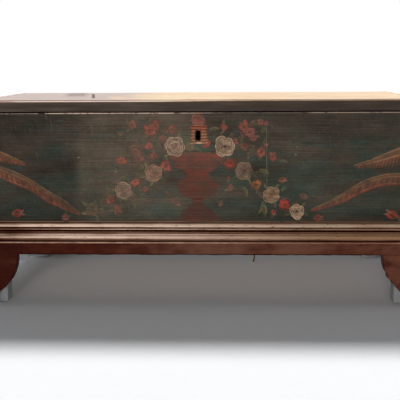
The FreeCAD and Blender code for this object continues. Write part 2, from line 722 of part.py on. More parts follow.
def handle_bail(side):
    """A round bar bent to a flat-bottomed loop, its headed ends turned into the ears."""
    def at(y, drop):
        return Vector(side * PIVOT_X, y, HANDLE_Z - drop)

    def bend(centre, radius, start, end):
        turn = [math.radians(a) for a in (start, (start + end) / 2, end)]
        points = [at(centre[0] + radius * math.cos(t), centre[1] - radius * math.sin(t)) for t in turn]
        return Part.Arc(*points).toShape()

    tail = EAR_SPACING / 2 - EAR_THICK / 2 - BAIL_TAIL
    b, s = BAIL_BEND, BAIL_SWEEP
    edges = [
        Part.makeLine(at(-tail, 0), at(-BAIL_HALF + b, 0)),
        bend((-BAIL_HALF + b, b), b, 90, 180),
        Part.makeLine(at(-BAIL_HALF, b), at(-BAIL_HALF, BAIL_DROP - s)),
        bend((-BAIL_HALF + s, BAIL_DROP - s), s, 180, 270),
        Part.makeLine(at(-BAIL_HALF + s, BAIL_DROP), at(BAIL_HALF - s, BAIL_DROP)),
        bend((BAIL_HALF - s, BAIL_DROP - s), s, 270, 360),
        Part.makeLine(at(BAIL_HALF, BAIL_DROP - s), at(BAIL_HALF, b)),
        bend((BAIL_HALF - b, b), b, 0, 90),
        Part.makeLine(at(BAIL_HALF - b, 0), at(tail, 0)),
    ]
    bail = rod(BAIL_RADIUS, edges)
    for y, inward in ((-tail, 1), (tail, -1)):
        bail = bail.fuse(cylinder(BAIL_HEAD, BAIL_HEAD_THICK, at(y, 0), Vector(0, inward, 0)))
    return whole(bail)


def handle_nail_points(side):
    x = side * (HALF + HANDLE_PLATE)
    return [Vector(x, y, HANDLE_Z + z) for y in (-EAR_SPACING / 4, EAR_SPACING / 4)
            for z in (-HANDLE_WIDTH / 4, HANDLE_WIDTH / 4)]


# ---------------------------------------------------------------- nails in the mouldings
def moulding_nail_points():
    """Nails through the flat of the lower moulding: (point, outward) pairs."""
    z = RAIL_TOP + LOWER_UNDER + LOWER_FLAT / 2
    spacing = BOX_WIDTH / MOULDING_NAILS
    found = [(Vector((n + 0.5) * spacing - HALF, FRONT - LOWER_REACH, z), Vector(0, -1, 0))
             for n in range(MOULDING_NAILS)]
    for side in (-1, 1):
        for share in END_NAILS:
            point = Vector(side * (HALF + LOWER_REACH), FRONT + share * BOX_DEPTH, z)
            found.append((point, Vector(side, 0, 0)))
    return found


def stray_nail_edges():
    """The path of the bent nail left standing out under the front rail."""
    y = FRONT - RAIL_REACH + STRAY_NAIL_SET
    top = Vector(STRAY_NAIL_X, y, FOOT_HEIGHT + STRAY_NAIL_IN)
    knee = Vector(STRAY_NAIL_X, y, FOOT_HEIGHT - STRAY_NAIL_OUT / 4)
    middle = knee + Vector(-STRAY_NAIL_LEAN / 4, 0, -STRAY_NAIL_OUT * 3 / 8)
    tip = knee + Vector(-STRAY_NAIL_LEAN, 0, -STRAY_NAIL_OUT * 3 / 4)
    return [Part.makeLine(top, knee), Part.Arc(knee, middle, tip).toShape()]


# ---------------------------------------------------------------- assembly
def build():
    os.makedirs("parts", exist_ok=True)
    up, down, back = Vector(0, 0, 1), Vector(0, 0, -1), Vector(0, 1, 0)

    till_wall, till_floor = till()
    moulding_nails = moulding_nail_points()
    moulding_holes = Part.makeCompound(
        [nail_shank(p, n, MOULDING_NAIL_LENGTH) for p, n in moulding_nails])
    lock_nails = lock_nail_points()
    lock_nail_length = LOCK_DEPTH + BOARD / 2
    lock_holes = Part.makeCompound([nail_shank(p, back, lock_nail_length) for p in lock_nails])

    front = long_board(FRONT, INNER_FRONT).cut(keyhole()).cut(rim_chamfer())
    front = front.cut(till_wall.fuse(till_floor)).cut(moulding_holes).cut(lock_holes)
    export("front_board", front.Solids[0])

    rear = long_board(INNER_BACK, BACK).cut(till_wall.fuse(till_floor))
    plate_nails = [p for x in (-HINGE_X, HINGE_X) for p in plate_nail_points(x)]
    plate_holes = Part.makeCompound([nail_shank(p, back, IRON_NAIL_LENGTH) for p in plate_nails])
    for x in (-HINGE_X, HINGE_X):
        rear = rear.cut(strap_notch(x))
    export("back_board", rear.cut(plate_holes).Solids[0])

    handle_nails = []
    for word, side in both_sides():
        points = handle_nail_points(side)
        out = Vector(side, 0, 0)
        holes = Part.makeCompound([nail_shank(p, out, IRON_NAIL_LENGTH) for p in points])
        wall = end_board(side).cut(holes).cut(moulding_holes)
        export(f"end_board_{word}", wall.Solids[0])
        export(f"handle_plate_{word}", whole(handle_plate(side).cut(holes)))
        export(f"handle_bail_{word}", handle_bail(side))
        handle_nails += [nail(p, out, IRON_NAIL_LENGTH) for p in points]
    export("handle_nails", handle_nails)

    bottom_nails = [flush_nail(p, up, BOTTOM_NAIL_LENGTH) for p in bottom_nail_points()]
    bottom_holes = Part.makeCompound(bottom_nails)
    for word, plank in zip(("front", "middle", "rear"), bottom_planks()):
        export(f"bottom_plank_{word}", plank.cut(bottom_holes).Solids[0])
    export("bottom_nails", bottom_nails)
    export("till_wall", till_wall)
    export("till_floor", till_floor)

    for word, piece in moulding_set(0, LOWER_REACH, lower_section()).items():
        export(f"lower_moulding_{word}", piece.cut(moulding_holes).Solids[0])
    for word, piece in moulding_set(0, BEAD_REACH, upper_section()).items():
        export(f"upper_moulding_{word}", piece)
    export("moulding_nails", [nail(p, n, MOULDING_NAIL_LENGTH, SMALL_HEAD, SMALL_RISE)
                              for p, n in moulding_nails])

    stray = rod(STRAY_NAIL, stray_nail_edges())
    for word, piece in moulding_set(-RAIL_BEARING, RAIL_REACH, rail_section()).items():
        export(f"base_rail_{word}", piece.cut(stray).cut(bottom_holes).Solids[0])
    export("base_rail_back", box(-HALF + RAIL_BEARING, HALF - RAIL_BEARING,
                                 BACK - RAIL_BEARING - RAIL_REACH, BACK, FOOT_HEIGHT, RAIL_TOP))
    export("stray_nail", stray)

    for word, side in both_sides():
        export(f"foot_front_{word}", front_foot(side))
        export(f"foot_end_front_{word}", end_foot_front(side))
        export(f"foot_end_rear_{word}", end_foot_rear(side))
        export(f"foot_back_{word}", back_foot(side))
        export(f"corner_block_front_{word}", corner_block(side, False))
        export(f"corner_block_rear_{word}", corner_block(side, True))

    lid_nails = [flush_nail(p, up, LID_NAIL_LENGTH) for p in cleat_nail_points()]
    cleat_holes = Part.makeCompound(lid_nails)
    strap_nails = [p for x in (-HINGE_X, HINGE_X) for p in strap_nail_points(x)]
    strap_holes = Part.makeCompound([nail_shank(p, down, IRON_NAIL_LENGTH) for p in strap_nails])
    hasp_nails = [flush_nail(p, down, IRON_NAIL_LENGTH) for p in hasp_nail_points()]
    hasp_holes = Part.makeCompound(hasp_nails)
    for word, plank in zip(("front", "middle", "rear"), lid_planks()):
        plank = plank.cut(cleat_holes).cut(strap_holes).cut(hasp_holes)
        export(f"lid_plank_{word}", plank.cut(hasp_plate()).Solids[0])
    for word, side in both_sides():
        export(f"lid_cleat_{word}", cleat(side).cut(cleat_holes).Solids[0])
    export("lid_nails", lid_nails)

    for word, side in both_sides():
        x = side * HINGE_X
        export(f"hinge_strap_{word}", whole(lid_strap(x).cut(strap_holes)))
        export(f"hinge_plate_{word}", whole(hinge_plate(x).cut(plate_holes)))
        export(f"hinge_pin_{word}", hinge_pin(x))
    export("strap_nails", [nail(p, down, IRON_NAIL_LENGTH) for p in strap_nails])
    export("plate_nails", [nail(p, back, IRON_NAIL_LENGTH) for p in plate_nails])

    export("lock_case", whole(lock_case().cut(lock_holes)))
    export("lock_bolt", lock_bolt())
    export("lock_hasp", whole(lock_hasp().cut(hasp_holes)))
    export("hasp_nails", hasp_nails)
    export("lock_nails", [nail(p, back, lock_nail_length) for p in lock_nails])


build()
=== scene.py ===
# %% [markdown]
# # A painted chest
# The chest arrives as bare solids, each already the right size and in the right place. This lesson gives it
# its surfaces: worn boards, rubbed mouldings, forged iron, and the flowers that a folk painter put on its front.
# Nothing here moves a solid. A board is either given a finish, or replaced by a finer surface of the same size.

import functools
import math

import bmesh
import bpy
import numpy as np
from mathutils import Matrix, Vector


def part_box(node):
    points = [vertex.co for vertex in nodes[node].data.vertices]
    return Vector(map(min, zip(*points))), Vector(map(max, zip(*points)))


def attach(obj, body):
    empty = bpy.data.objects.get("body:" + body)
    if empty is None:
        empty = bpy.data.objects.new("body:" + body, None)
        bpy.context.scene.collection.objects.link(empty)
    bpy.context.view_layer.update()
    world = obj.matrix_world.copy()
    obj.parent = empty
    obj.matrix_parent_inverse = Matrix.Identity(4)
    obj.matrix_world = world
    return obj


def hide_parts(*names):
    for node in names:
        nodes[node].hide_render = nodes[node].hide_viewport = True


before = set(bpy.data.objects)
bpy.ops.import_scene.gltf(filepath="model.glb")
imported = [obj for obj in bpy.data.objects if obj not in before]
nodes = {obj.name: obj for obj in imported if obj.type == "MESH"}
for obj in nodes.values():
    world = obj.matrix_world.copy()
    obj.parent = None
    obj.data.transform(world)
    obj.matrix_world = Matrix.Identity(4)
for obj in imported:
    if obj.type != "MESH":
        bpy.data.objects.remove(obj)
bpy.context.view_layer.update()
mm = 0.001

# %% [markdown]
# ## Where things are
# The solids carry their places in their vertices, so every size that follows is read from them. The front of
# the chest looks along -Y, so its outer face is the front board's lowest Y.

# %% Read the main places
board_low, board_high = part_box("front_board")
FACE = board_low.y
HALF = board_high.x
BOX_FOOT, RIM = board_low.z, board_high.z
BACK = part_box("back_board")[1].y
lid_low, lid_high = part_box("lid_plank_front")
LID_TOP, LID_UNDER = lid_high.z, lid_low.z
MOULDING_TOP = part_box("upper_moulding_front")[1].z
print(f"front face at y {FACE:.3f}, rim at {RIM:.3f}, lid top at {LID_TOP:.3f} m")

# %% [markdown]
# ## The camera
# The chest is looked down on a little, from almost straight in front, close enough that its ends run out of
# view. Turning a camera by yaw, pitch and roll is easiest to follow with its three axes written out.

# %% Place the camera
LENS, SENSOR = 66.2, 36.0
CAMERA_X = 72.8 * mm
CAMERA_BEFORE_LID = 1995.1 * mm
CAMERA_OVER_LID = 97.6 * mm
YAW, PITCH, ROLL = (math.radians(a) for a in (1.96, 10.52, -0.33))


def camera_axes(yaw, pitch, roll):
    """Right, up and forward: forward is +Y turned left by yaw and down by pitch, and roll turns the other two."""
    level = Vector((-math.sin(yaw), math.cos(yaw), 0))
    forward = level * math.cos(pitch) - Vector((0, 0, math.sin(pitch)))
    up = level * math.sin(pitch) + Vector((0, 0, math.cos(pitch)))
    right = forward.cross(up)
    return right * math.cos(roll) + up * math.sin(roll), up * math.cos(roll) - right * math.sin(roll), forward


lens = bpy.data.cameras.new("camera")
lens.lens, lens.sensor_width = LENS, SENSOR
lens.clip_start, lens.clip_end = 0.05, 60
camera = bpy.data.objects.new("camera", lens)
bpy.context.collection.objects.link(camera)
right, up, forward = camera_axes(YAW, PITCH, ROLL)
spot = Vector((CAMERA_X, lid_low.y - CAMERA_BEFORE_LID, LID_TOP + CAMERA_OVER_LID))
camera.matrix_world = Matrix.Translation(spot) @ Matrix((right, up, -forward)).transposed().to_4x4()
bpy.context.scene.camera = camera
bpy.context.scene.view_settings.view_transform = "Standard"
print("camera at", tuple(round(v, 3) for v in spot))

# %% [markdown]
# ## Building node trees
# Every finish is a small network of nodes. A helper class keeps the code as short as the idea: `add` makes a
# node and joins it up, `grain` gives noise whose features are so many metres long each way, and `level` cuts a
# soft-edged mask out of a number. `over` and `band` cut masks out of the places along the chest. Patterns are
# read from Object coordinates, so they stay on the wood.

# %% A helper for finishes
def linear(colour):
    """A colour as it is mixed on screen, 0 to 255, in the linear numbers that light uses; also many at once."""
    parts = np.clip(np.asarray(colour, float) / 255, 0, 1)
    return np.where(parts <= 0.04045, parts / 12.92, ((parts + 0.055) / 1.055) ** 2.4)


def rgb(red, green, blue):
    """A screen colour as a socket wants it."""
    return (*linear((red, green, blue)).tolist(), 1.0)


class Finish:
    """A material being built around one Principled shader."""

    def __init__(self, name, **constants):
        self.material = bpy.data.materials.new(name)
        self.material.use_nodes = True
        self.tree = self.material.node_tree
        self.shader = self.tree.nodes["Principled BSDF"]
        for socket, value in constants.items():
            self.shader.inputs[socket.replace("_", " ")].default_value = value
        self.place = self.add("TexCoord").outputs["Object"]
        self.x, self.y, self.z = self.add("SeparateXYZ", {0: self.place}).outputs

    def add(self, kind, inputs=(), **options):
        """A node with its options set, each input given a number, a colour or another node's output."""
        made = self.tree.nodes.new("ShaderNode" + kind)
        for option, value in options.items():
            setattr(made, option, value)
        for key, value in dict(inputs).items():
            if isinstance(value, bpy.types.NodeSocket):
                self.tree.links.new(value, made.inputs[key])
            else:
                made.inputs[key].default_value = value
        return made

    def math(self, how, *numbers):
        """One number out of several, taken in from left to right."""
        if len(numbers) == 1:
            return self.add("Math", {0: numbers[0]}, operation=how).outputs[0]
        return functools.reduce(lambda a, b: self.add("Math", {0: a, 1: b}, operation=how).outputs[0], numbers)

    def plus(self, *numbers):
        """Their sum."""
        return self.math("ADD", *numbers)

    def minus(self, first, *others):
        """The first number less all the others."""
        return self.math("SUBTRACT", first, *others)

    def times(self, *numbers):
        """Their product. Of masks, it is the place that all of them cover."""
        return self.math("MULTIPLY", *numbers)

    def either(self, *masks):
        """The largest of several masks."""
        return self.math("MAXIMUM", *masks)

    def shake(self, noise, size, middle=0.5):
        """Noise about zero: (noise - middle) times a size."""
        return self.times(self.minus(noise, middle), size)

    def blend(self, share, first, second):
        """One number fading into another, by a share."""
        return self.add("Mix", {0: share, 2: first, 3: second}, data_type="FLOAT").outputs[0]

    def scaled(self, size, seed=0.0):
        """Object coordinates divided by a feature size for each axis, shifted by a seed."""
        scale = [1 / s for s in size]
        return self.add("VectorMath", {0: self.place, 1: scale, 2: (seed, 1.7 * seed, 2.3 * seed)},
                        operation="MULTIPLY_ADD").outputs[0]

    def grain(self, size, seed=0.0, detail=3.0, rough=0.55):
        """Noise between about 0.2 and 0.8, its features as long as size along each axis."""
        size = size if isinstance(size, tuple) else (size,) * 3
        inputs = {"Vector": self.scaled(size, seed), "Scale": 1.0, "Detail": detail, "Roughness": rough}
        return self.add("TexNoise", inputs).outputs[0]

    def cells(self, size, seed, **options):
        """The distance to the nearest of many scattered points, or to the border between two of their cells."""
        made = self.add("TexVoronoi", {"Vector": self.scaled(size, seed), "Scale": 1.0}, **options)
        return made.outputs["Distance"]

    def level(self, value, low, high, to_low=0.0, to_high=1.0):
        """A soft step from one number to another as value goes from low to high, whichever of them is larger."""
        if low > high:
            low, high, to_low, to_high = high, low, to_high, to_low
        inputs = {0: value, 1: low, 2: high, 3: to_low, 4: to_high}
        return self.add("MapRange", inputs, interpolation_type="SMOOTHSTEP").outputs[0]

    def over(self, axis, low, high, to_low=0.0, to_high=1.0, at=0.0):
        """The same step along an axis, its ends so many millimetres from a place."""
        return self.level(getattr(self, axis), at + low * mm, at + high * mm, to_low, to_high)

    def within(self, value, low, high, soft):
        """1 between two levels, with soft shoulders."""
        return self.times(self.level(value, low - soft, low + soft), self.level(value, high + soft, high - soft))

    def band(self, axis, low, high, soft, at=0.0):
        """The same along an axis, in millimetres from a place."""
        return self.within(getattr(self, axis), at + low * mm, at + high * mm, soft * mm)

    def mix(self, share, first, second):
        """One colour over another, by a share."""
        return self.add("Mix", {0: share, 6: first, 7: second}, data_type="RGBA").outputs[2]

    def ramp(self, value, *stops):
        """A colour for each value: stops are (position, colour)."""
        made = self.add("ValToRGB", {0: value})
        elements = made.color_ramp.elements
        while len(elements) < len(stops):
            elements.new(1.0)
        for element, (position, colour) in zip(elements, stops):
            element.position, element.color = position, colour
        return made.outputs[0]

    def attribute(self, name, part="Fac"):
        """What the mesh itself says at each point: a number, or a colour and its alpha."""
        return self.add("Attribute", attribute_name=name).outputs[part]

    def done(self, colour, height=None, depth=0.3 * mm, roughness=None, sheen=None):
        """Joins colour, bump, roughness and the strength of reflections to the shader."""
        self.tree.links.new(colour, self.shader.inputs["Base Color"])
        if height is not None:
            bump = self.add("Bump", {"Height": height, "Distance": depth, "Strength": 1.0})
            self.tree.links.new(bump.outputs[0], self.shader.inputs["Normal"])
        if roughness is not None:
            self.tree.links.new(roughness, self.shader.inputs["Roughness"])
        if sheen is not None:
            self.tree.links.new(sheen, self.shader.inputs["Specular IOR Level"])
        print("finish", self.material.name, "with", len(self.tree.nodes), "nodes")
        return self.material


# %% [markdown]
# ## Floor and light
# The chest stands on a sheet of paper among soft lamps. A sun lamp of strength pi lights a white surface to
# exactly white, so each lamp's strength is pi times a plain share. The strongest one stands behind the chest
# and lays its shadow forward over the floor; the weaker ones come in low from all four sides, so that they
# light upright boards and hardly touch the floor. Rays that meet no object see white: the camera's, and those
# that bounce off polished iron. All other rays see a dim even sky.

# %% Set the lamps and the sky
SKY = 0.14
SKY_TINT = (0.95, 1.0, 1.06, 1)
LAMPS = (
    # name, azimuth, elevation, spread in degrees, share
    ("key_lamp", 170, 59.3, 11.5, 0.97),
    ("front_lamp", -6, 4.2, 14, 0.59),
    ("left_lamp", -90, 3.5, 14, 0.3),
    ("right_lamp", 90, 3.5, 14, 0.3),
)


def sun(name, azimuth, elevation, spread, share):
    """A lamp that shines from an azimuth (0 is the front, 90 the right) and an elevation."""
    turn, lift = math.radians(azimuth), math.radians(elevation)
    to_lamp = Vector((math.sin(turn) * math.cos(lift), -math.cos(turn) * math.cos(lift), math.sin(lift)))
    lamp = bpy.data.lights.new(name, "SUN")
    lamp.energy, lamp.angle = math.pi * share, math.radians(spread)
    made = bpy.data.objects.new(name, lamp)
    made.rotation_euler = to_lamp.to_track_quat("Z", "Y").to_euler()
    bpy.context.collection.objects.link(made)


for lamp in LAMPS:
    sun(*lamp)

world = bpy.data.worlds.new("studio")
bpy.context.scene.world = world
world.use_nodes = True
sky = world.node_tree
path = sky.nodes.new("ShaderNodeLightPath")
seen = path.outputs["Is Camera Ray"]
for ray in ("Is Glossy Ray", "Is Transmission Ray"):
    larger = sky.nodes.new("ShaderNodeMath")
    larger.operation = "MAXIMUM"
    sky.links.new(seen, larger.inputs[0])
    sky.links.new(path.outputs[ray], larger.inputs[1])
    seen = larger.outputs[0]
strength = sky.nodes.new("ShaderNodeMapRange")
strength.inputs["To Min"].default_value = SKY
sky.links.new(seen, strength.inputs["Value"])
tinted = sky.nodes.new("ShaderNodeMix")
tinted.data_type = "RGBA"
tinted.inputs[6].default_value, tinted.inputs[7].default_value = SKY_TINT, (1, 1, 1, 1)
sky.links.new(seen, tinted.inputs[0])
sky.links.new(tinted.outputs[2], sky.nodes["Background"].inputs["Color"])
sky.links.new(strength.outputs[0], sky.nodes["Background"].inputs["Strength"])
print(len(LAMPS), "sun lamps under a sky of strength", SKY)

# %% [markdown]
# The floor is one large square of pale paper. Where it is seen far off it fades to plain white, by a second
# shader that only the camera's rays meet.

# %% Lay the floor
FLOOR_SIZE = 12.0
FLOOR_FADES_FROM, FLOOR_FADES_TO = 1.3, 2.4
PAPER, PAPER_SPECK = rgb(246, 247, 248), rgb(243, 244, 245)


def sheet(name, corners, finish):
    """One square face of the studio, apart from the chest."""
    mesh = bpy.data.meshes.new(name)
    mesh.from_pydata(corners, [], [(0, 1, 2, 3)])
    made = bpy.data.objects.new(name, mesh)
    bpy.context.collection.objects.link(made)
    mesh.materials.append(finish)
    return made


def floor_paper():
    """Pale matt paper that turns to plain white far from the chest, where only the camera sees it."""
    f = Finish("floor_paper", Roughness=1.0, Specular_IOR_Level=0.0)
    flat = f.add("CombineXYZ", {0: f.x, 1: f.y}).outputs[0]
    distance = f.add("VectorMath", {0: flat}, operation="LENGTH").outputs["Value"]
    far = f.level(distance, FLOOR_FADES_FROM, FLOOR_FADES_TO)
    f.done(f.mix(f.level(f.grain(25 * mm, detail=4), 0.3, 0.7, 0.0, 0.3), PAPER, PAPER_SPECK))
    white = f.add("Emission", {0: (1, 1, 1, 1), 1: 1.0}).outputs[0]
    by_camera = f.add("LightPath").outputs["Is Camera Ray"]
    shown = f.add("MixShader", {0: f.times(far, by_camera), 1: f.shader.outputs[0], 2: white}).outputs[0]
    f.tree.links.new(shown, f.tree.nodes["Material Output"].inputs[0])
    return f.material


corner = FLOOR_SIZE / 2
sheet("floor", [(-corner, -corner, 0), (corner, -corner, 0), (corner, corner, 0), (-corner, corner, 0)], floor_paper())
print("floor", FLOOR_SIZE, "m square")

# %% [markdown]
# The key lamp would shine through under the chest. A grey card inside the back rail and feet stops it and fills
# the shade there a little, and a faint wide lamp under the bottom boards keeps the floor there no darker than
# the shade in front. The camera sees neither.

# %% Shade the floor under the chest
CARD_GREY = (0.2, 0.22, 0.24, 1)
CARD_BESIDE_BOX, CARD_BEFORE_RAIL = 60 * mm, 1 * mm
LAMP_UNDERNEATH = 0.11                # watts
LAMP_WIDE, LAMP_DEEP = 1.8 * HALF, 0.52
LAMP_BEFORE_RAIL, LAMP_BELOW_BOARDS = 0.31, 3 * mm

rail_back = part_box("base_rail_back")[1]
x, y, top = HALF + CARD_BESIDE_BOX, rail_back.y - CARD_BEFORE_RAIL, rail_back.z
card = sheet("grey_card", [(-x, y, 0), (x, y, 0), (x, y, top), (-x, y, top)],
             Finish("grey_card", Base_Color=CARD_GREY, Roughness=1.0).material)
soft_box = bpy.data.lights.new("lamp_underneath", "AREA")
soft_box.shape, soft_box.size, soft_box.size_y, soft_box.energy = "RECTANGLE", LAMP_WIDE, LAMP_DEEP, LAMP_UNDERNEATH
lamp_underneath = bpy.data.objects.new("lamp_underneath", soft_box)
lamp_underneath.location = (0, rail_back.y - LAMP_BEFORE_RAIL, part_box("bottom_plank_middle")[0].z - LAMP_BELOW_BOARDS)
bpy.context.collection.objects.link(lamp_underneath)
for made in (card, lamp_underneath):
    made.visible_camera = made.visible_glossy = False
print("card", round(2 * x, 3), "m wide, lamp underneath of", LAMP_UNDERNEATH, "W")

# %% [markdown]
# ## Pine
# Under the paint, and everywhere inside, the chest is pine. A board sawn from a log shows its rings as long
# arches, so the rings are circles about a line that runs along the board, a little out of true with it. Pine
# darkens to brown, most in the late wood of each ring, and it has fine pores along the grain.

# %% Old pine
ALONG = {"X": 0, "Y": 1, "Z": 2}
PINE_EARLY, PINE_LATE = rgb(170, 130, 88), rgb(122, 82, 48)
PINE_GREY, PINE_KNOT, PINE_GRIME = rgb(116, 95, 74), rgb(66, 38, 21), rgb(70, 52, 38)
# a grey of dust whose tone is matched to the shade on the floor under the chest
DUST_SHADE_GREY = rgb(126, 132, 136)
RING = 7 * mm
RING_PER_SCALE = 0.314              # a wave texture of scale 1 has rings this many metres apart


def stretched(size, along, times):
    """A feature size that is longer along the grain."""
    sizes = [size] * 3
    sizes[ALONG[along]] = size * times
    return tuple(sizes)


def pine_layers(f, along, seed):
    """Colour and height of old pine: rings, pores, grey blotches and a few knots."""
    tilt = [0.0, 0.0, 0.0]
    tilt[(ALONG[along] + 1) % 3] = math.radians(4 + seed % 3)
    tilt[(ALONG[along] + 2) % 3] = math.radians(3)
    shift = (0.013 * seed, 0.021 * seed + 0.03, -0.02 * seed - 0.11)
    turned = f.add("Mapping", {"Vector": f.place, "Location": shift, "Rotation": tilt})
    rings = f.add("TexWave", {"Vector": turned.outputs[0], "Scale": RING_PER_SCALE / RING, "Distortion": 3.5,
                              "Detail": 2.0, "Detail Scale": 0.35},
                  wave_type="RINGS", rings_direction=along, wave_profile="SAW")
    ring = rings.outputs["Fac"]
    pores = f.grain(stretched(0.9 * mm, along, 40), seed, detail=4)
    blotch = f.grain(stretched(60 * mm, along, 3), seed + 3)
    colour = f.ramp(ring, (0.0, PINE_EARLY), (0.7, PINE_EARLY), (0.95, PINE_LATE), (1.0, PINE_EARLY))
    colour = f.mix(f.level(pores, 0.5, 0.75, 0, 0.5), colour, PINE_LATE)
    colour = f.mix(f.level(blotch, 0.45, 0.75, 0, 0.6), colour, PINE_GREY)
    knot = f.level(f.cells(stretched(150 * mm, along, 2.5), seed), 0.075, 0.05)
    colour = f.mix(f.times(knot, 0.9), colour, PINE_KNOT)
    height = f.plus(f.times(ring, 0.3), f.times(pores, 0.7))
    return colour, height


def old_pine(name, along, seed, dust=0.0):
    """Bare, oxidised pine with grime in its low places, and a grey dust over it where nobody wipes, on all but the back
    of the chest; that grey is matched to the shade on the floor beneath."""
    f = Finish(name, Roughness=0.75, Specular_IOR_Level=0.25)
    colour, height = pine_layers(f, along, seed)
    grime = f.level(f.grain(stretched(35 * mm, along, 4), seed + 9, detail=5), 0.5, 0.72, 0, 0.55)
    colour = f.mix(grime, colour, PINE_GRIME)
    if dust:
        colour = f.mix(f.over("y", -4, -2, dust, 0.1, at=BACK), colour, DUST_SHADE_GREY)
    return f.done(colour, height, 0.25 * mm)


pine_long = old_pine("pine_long", "X", 1.0)
pine_deep = old_pine("pine_deep", "Y", 2.0)
pine_dusty_shade_grey = old_pine("pine_dusty_shade_grey", "X", 5.0, dust=0.88)

# %% [markdown]
# ## The ground of the front
# The box was painted a dark green that has browned under smoke and varnish. It went on with a wide brush along
# the boards, so it is streaked from end to end; it stays greenest low down and towards the ends, and it is
# rubbed thin and dusty left of the middle. The same function is used later under every painted flower, so that
# a worn petal shows this ground through it.

# %% The green-brown ground
BROWN_TONES = ((0.12, rgb(33, 27, 21)), (0.45, rgb(57, 49, 40)), (0.9, rgb(96, 82, 68)))
GREEN_TONES = ((0.12, rgb(26, 29, 24)), (0.45, rgb(52, 56, 46)), (0.9, rgb(86, 88, 74)))
TEAL_TONES = ((0.12, rgb(22, 30, 27)), (0.45, rgb(44, 56, 50)), (0.9, rgb(72, 84, 76)))
GROUND_DARK = rgb(33, 27, 21)
BARE_EDGE, BARE_TAN = rgb(186, 160, 142), rgb(150, 112, 80)
# painted shade: near black, for the gap between the lid and the box
GAP_SHADE = rgb(8, 3, 1)
SCRATCHED, FOOT_GRIME, FOOT_RUBBED = rgb(126, 108, 88), rgb(62, 38, 28), rgb(140, 106, 84)
PAINT_SHEEN = 0.06
LINE_APART = 4.1 * mm                # from one line of the grain to the next, on the front


def streaks(f, along, seed):
    """Fine brush lines along a board."""
    return f.grain(stretched(1.5 * mm, along, 90), seed, detail=3, rough=0.7)


def grain_lines(f, wander, detail, fine):
    """The lines of the grain as the front board shows them, one above the other."""
    inputs = {"Vector": f.place, "Scale": RING_PER_SCALE / LINE_APART, "Distortion": wander, "Detail": detail,
              "Detail Scale": fine}
    return f.add("TexWave", inputs, bands_direction="Z").outputs["Fac"]


def ground_layers(f, along):
    """Colour and height of the ground. A tone from dark to pale picks the colour, and two masks turn it green."""
    lines = streaks(f, along, 3.0)
    cloud = f.grain(stretched(70 * mm, along, 2.2), 7.0, detail=5, rough=0.6)
    mottle = f.grain((11 * mm, 11 * mm, 8 * mm), 44.0, detail=4, rough=0.6)
    middle = f.band("z", 320, 450, 60)
    begins = f.blend(middle, f.over("x", -440, -220), f.over("x", -354, -316))
    rubbed = f.times(begins, f.over("x", 170, -130))
    dim_end = f.either(f.over("x", 330, 640, 0, 0.7), f.times(f.minus(1.0, begins), 0.6))
    tone = f.plus(f.times(cloud, 0.8), f.times(rubbed, 0.26), f.shake(lines, 0.7),
                  f.shake(grain_lines(f, 3.0, 3.0, 1.2), 0.12), f.shake(mottle, 0.26, 0.48))
    tone = f.minus(tone, f.times(dim_end, 0.15), f.over("z", 300, 225, 0, 0.12))
    tone = f.plus(tone, f.times(f.band("x", 220, 420, 60), middle, 0.1))
    patches = f.grain(stretched(55 * mm, along, 2.5), 12.0, detail=5, rough=0.65)
    greener_right = f.times(f.over("x", 60, 330, 0, 0.2), 0.25)
    green = f.either(f.times(f.over("z", 330, 250), 0.75),
                     f.level(f.plus(patches, greener_right), 0.47, 0.62, 0, 0.95))
    below_top = f.over("z", -15, -90, 0.25, 1.0, at=RIM)
    brown, greenish, tealish = (f.ramp(tone, *tones) for tones in (BROWN_TONES, GREEN_TONES, TEAL_TONES))
    colour = f.mix(f.times(green, below_top, f.level(rubbed, 0.0, 1.0, 1.0, 0.55)), brown, greenish)
    teal = f.level(f.grain(stretched(30 * mm, along, 3.5), 21.0, detail=6, rough=0.65), 0.5, 0.66, 0, 0.6)
    colour = f.mix(f.times(teal, below_top), colour, tealish)
    crackle = f.cells(stretched(5 * mm, along, 1.8), 5.0, feature="DISTANCE_TO_EDGE")
    crack = f.level(crackle, 0.05, 0.0, 0, 0.35)
    colour = f.mix(crack, colour, GROUND_DARK)
    height = f.plus(f.times(lines, 0.5), f.times(cloud, 0.4))
    return colour, f.minus(height, f.times(crack, 0.5))


def worn_marks(f, colour, along):
    """Nicks, scratches and the bare rim, where the paint has gone, and painted shade in the gap under the lid."""
    nick = f.grain(stretched(2.2 * mm, along, 7), 31.0, detail=2)
    colour = f.mix(f.level(nick, 0.735, 0.775, 0, 0.6), colour, BARE_TAN)
    scratch = f.grain((1.6 * mm, 1.6 * mm, 26 * mm), 36.0, detail=3)
    upper = f.over("z", 380, 500, 0.35, 1.0)
    colour = f.mix(f.times(f.level(scratch, 0.66, 0.74, 0, 0.45), upper), colour, SCRATCHED)
    rim_patch = f.level(f.grain(34 * mm, 17.0, detail=5, rough=0.65), 0.4, 0.5)
    less_right = f.either(f.over("x", 120, -120), f.over("x", 290, 315, 0.12, 0.42))
    less_left = f.over("x", -460, -420, 0.45, 1.0)
    colour = f.mix(f.times(f.over("z", -6.0, -5.2, at=RIM), rim_patch, less_right, less_left), colour, BARE_EDGE)
    # painted shade: the top few millimetres of the board go near black under the lid's edge, deeper at the left
    deep = f.plus(f.over("x", -460, -340, 1.1 * mm, 0.2 * mm), f.times(f.band("x", -290, 20, 30), 0.35 * mm))
    colour = f.mix(f.level(f.plus(f.z, deep), RIM - 3.0 * mm, RIM - 2.5 * mm), colour, GAP_SHADE)
    grime = f.times(f.over("z", 20, 3, 0, 0.45, at=MOULDING_TOP),
                    f.level(f.grain(stretched(24 * mm, along, 3), 19.0), 0.35, 0.6))
    colour = f.mix(grime, colour, FOOT_GRIME)
    foot = f.times(f.over("z", 3.0, 0.8, at=MOULDING_TOP), f.over("x", -60, 260, 0.8, 0.55))
    return f.mix(foot, colour, FOOT_RUBBED)
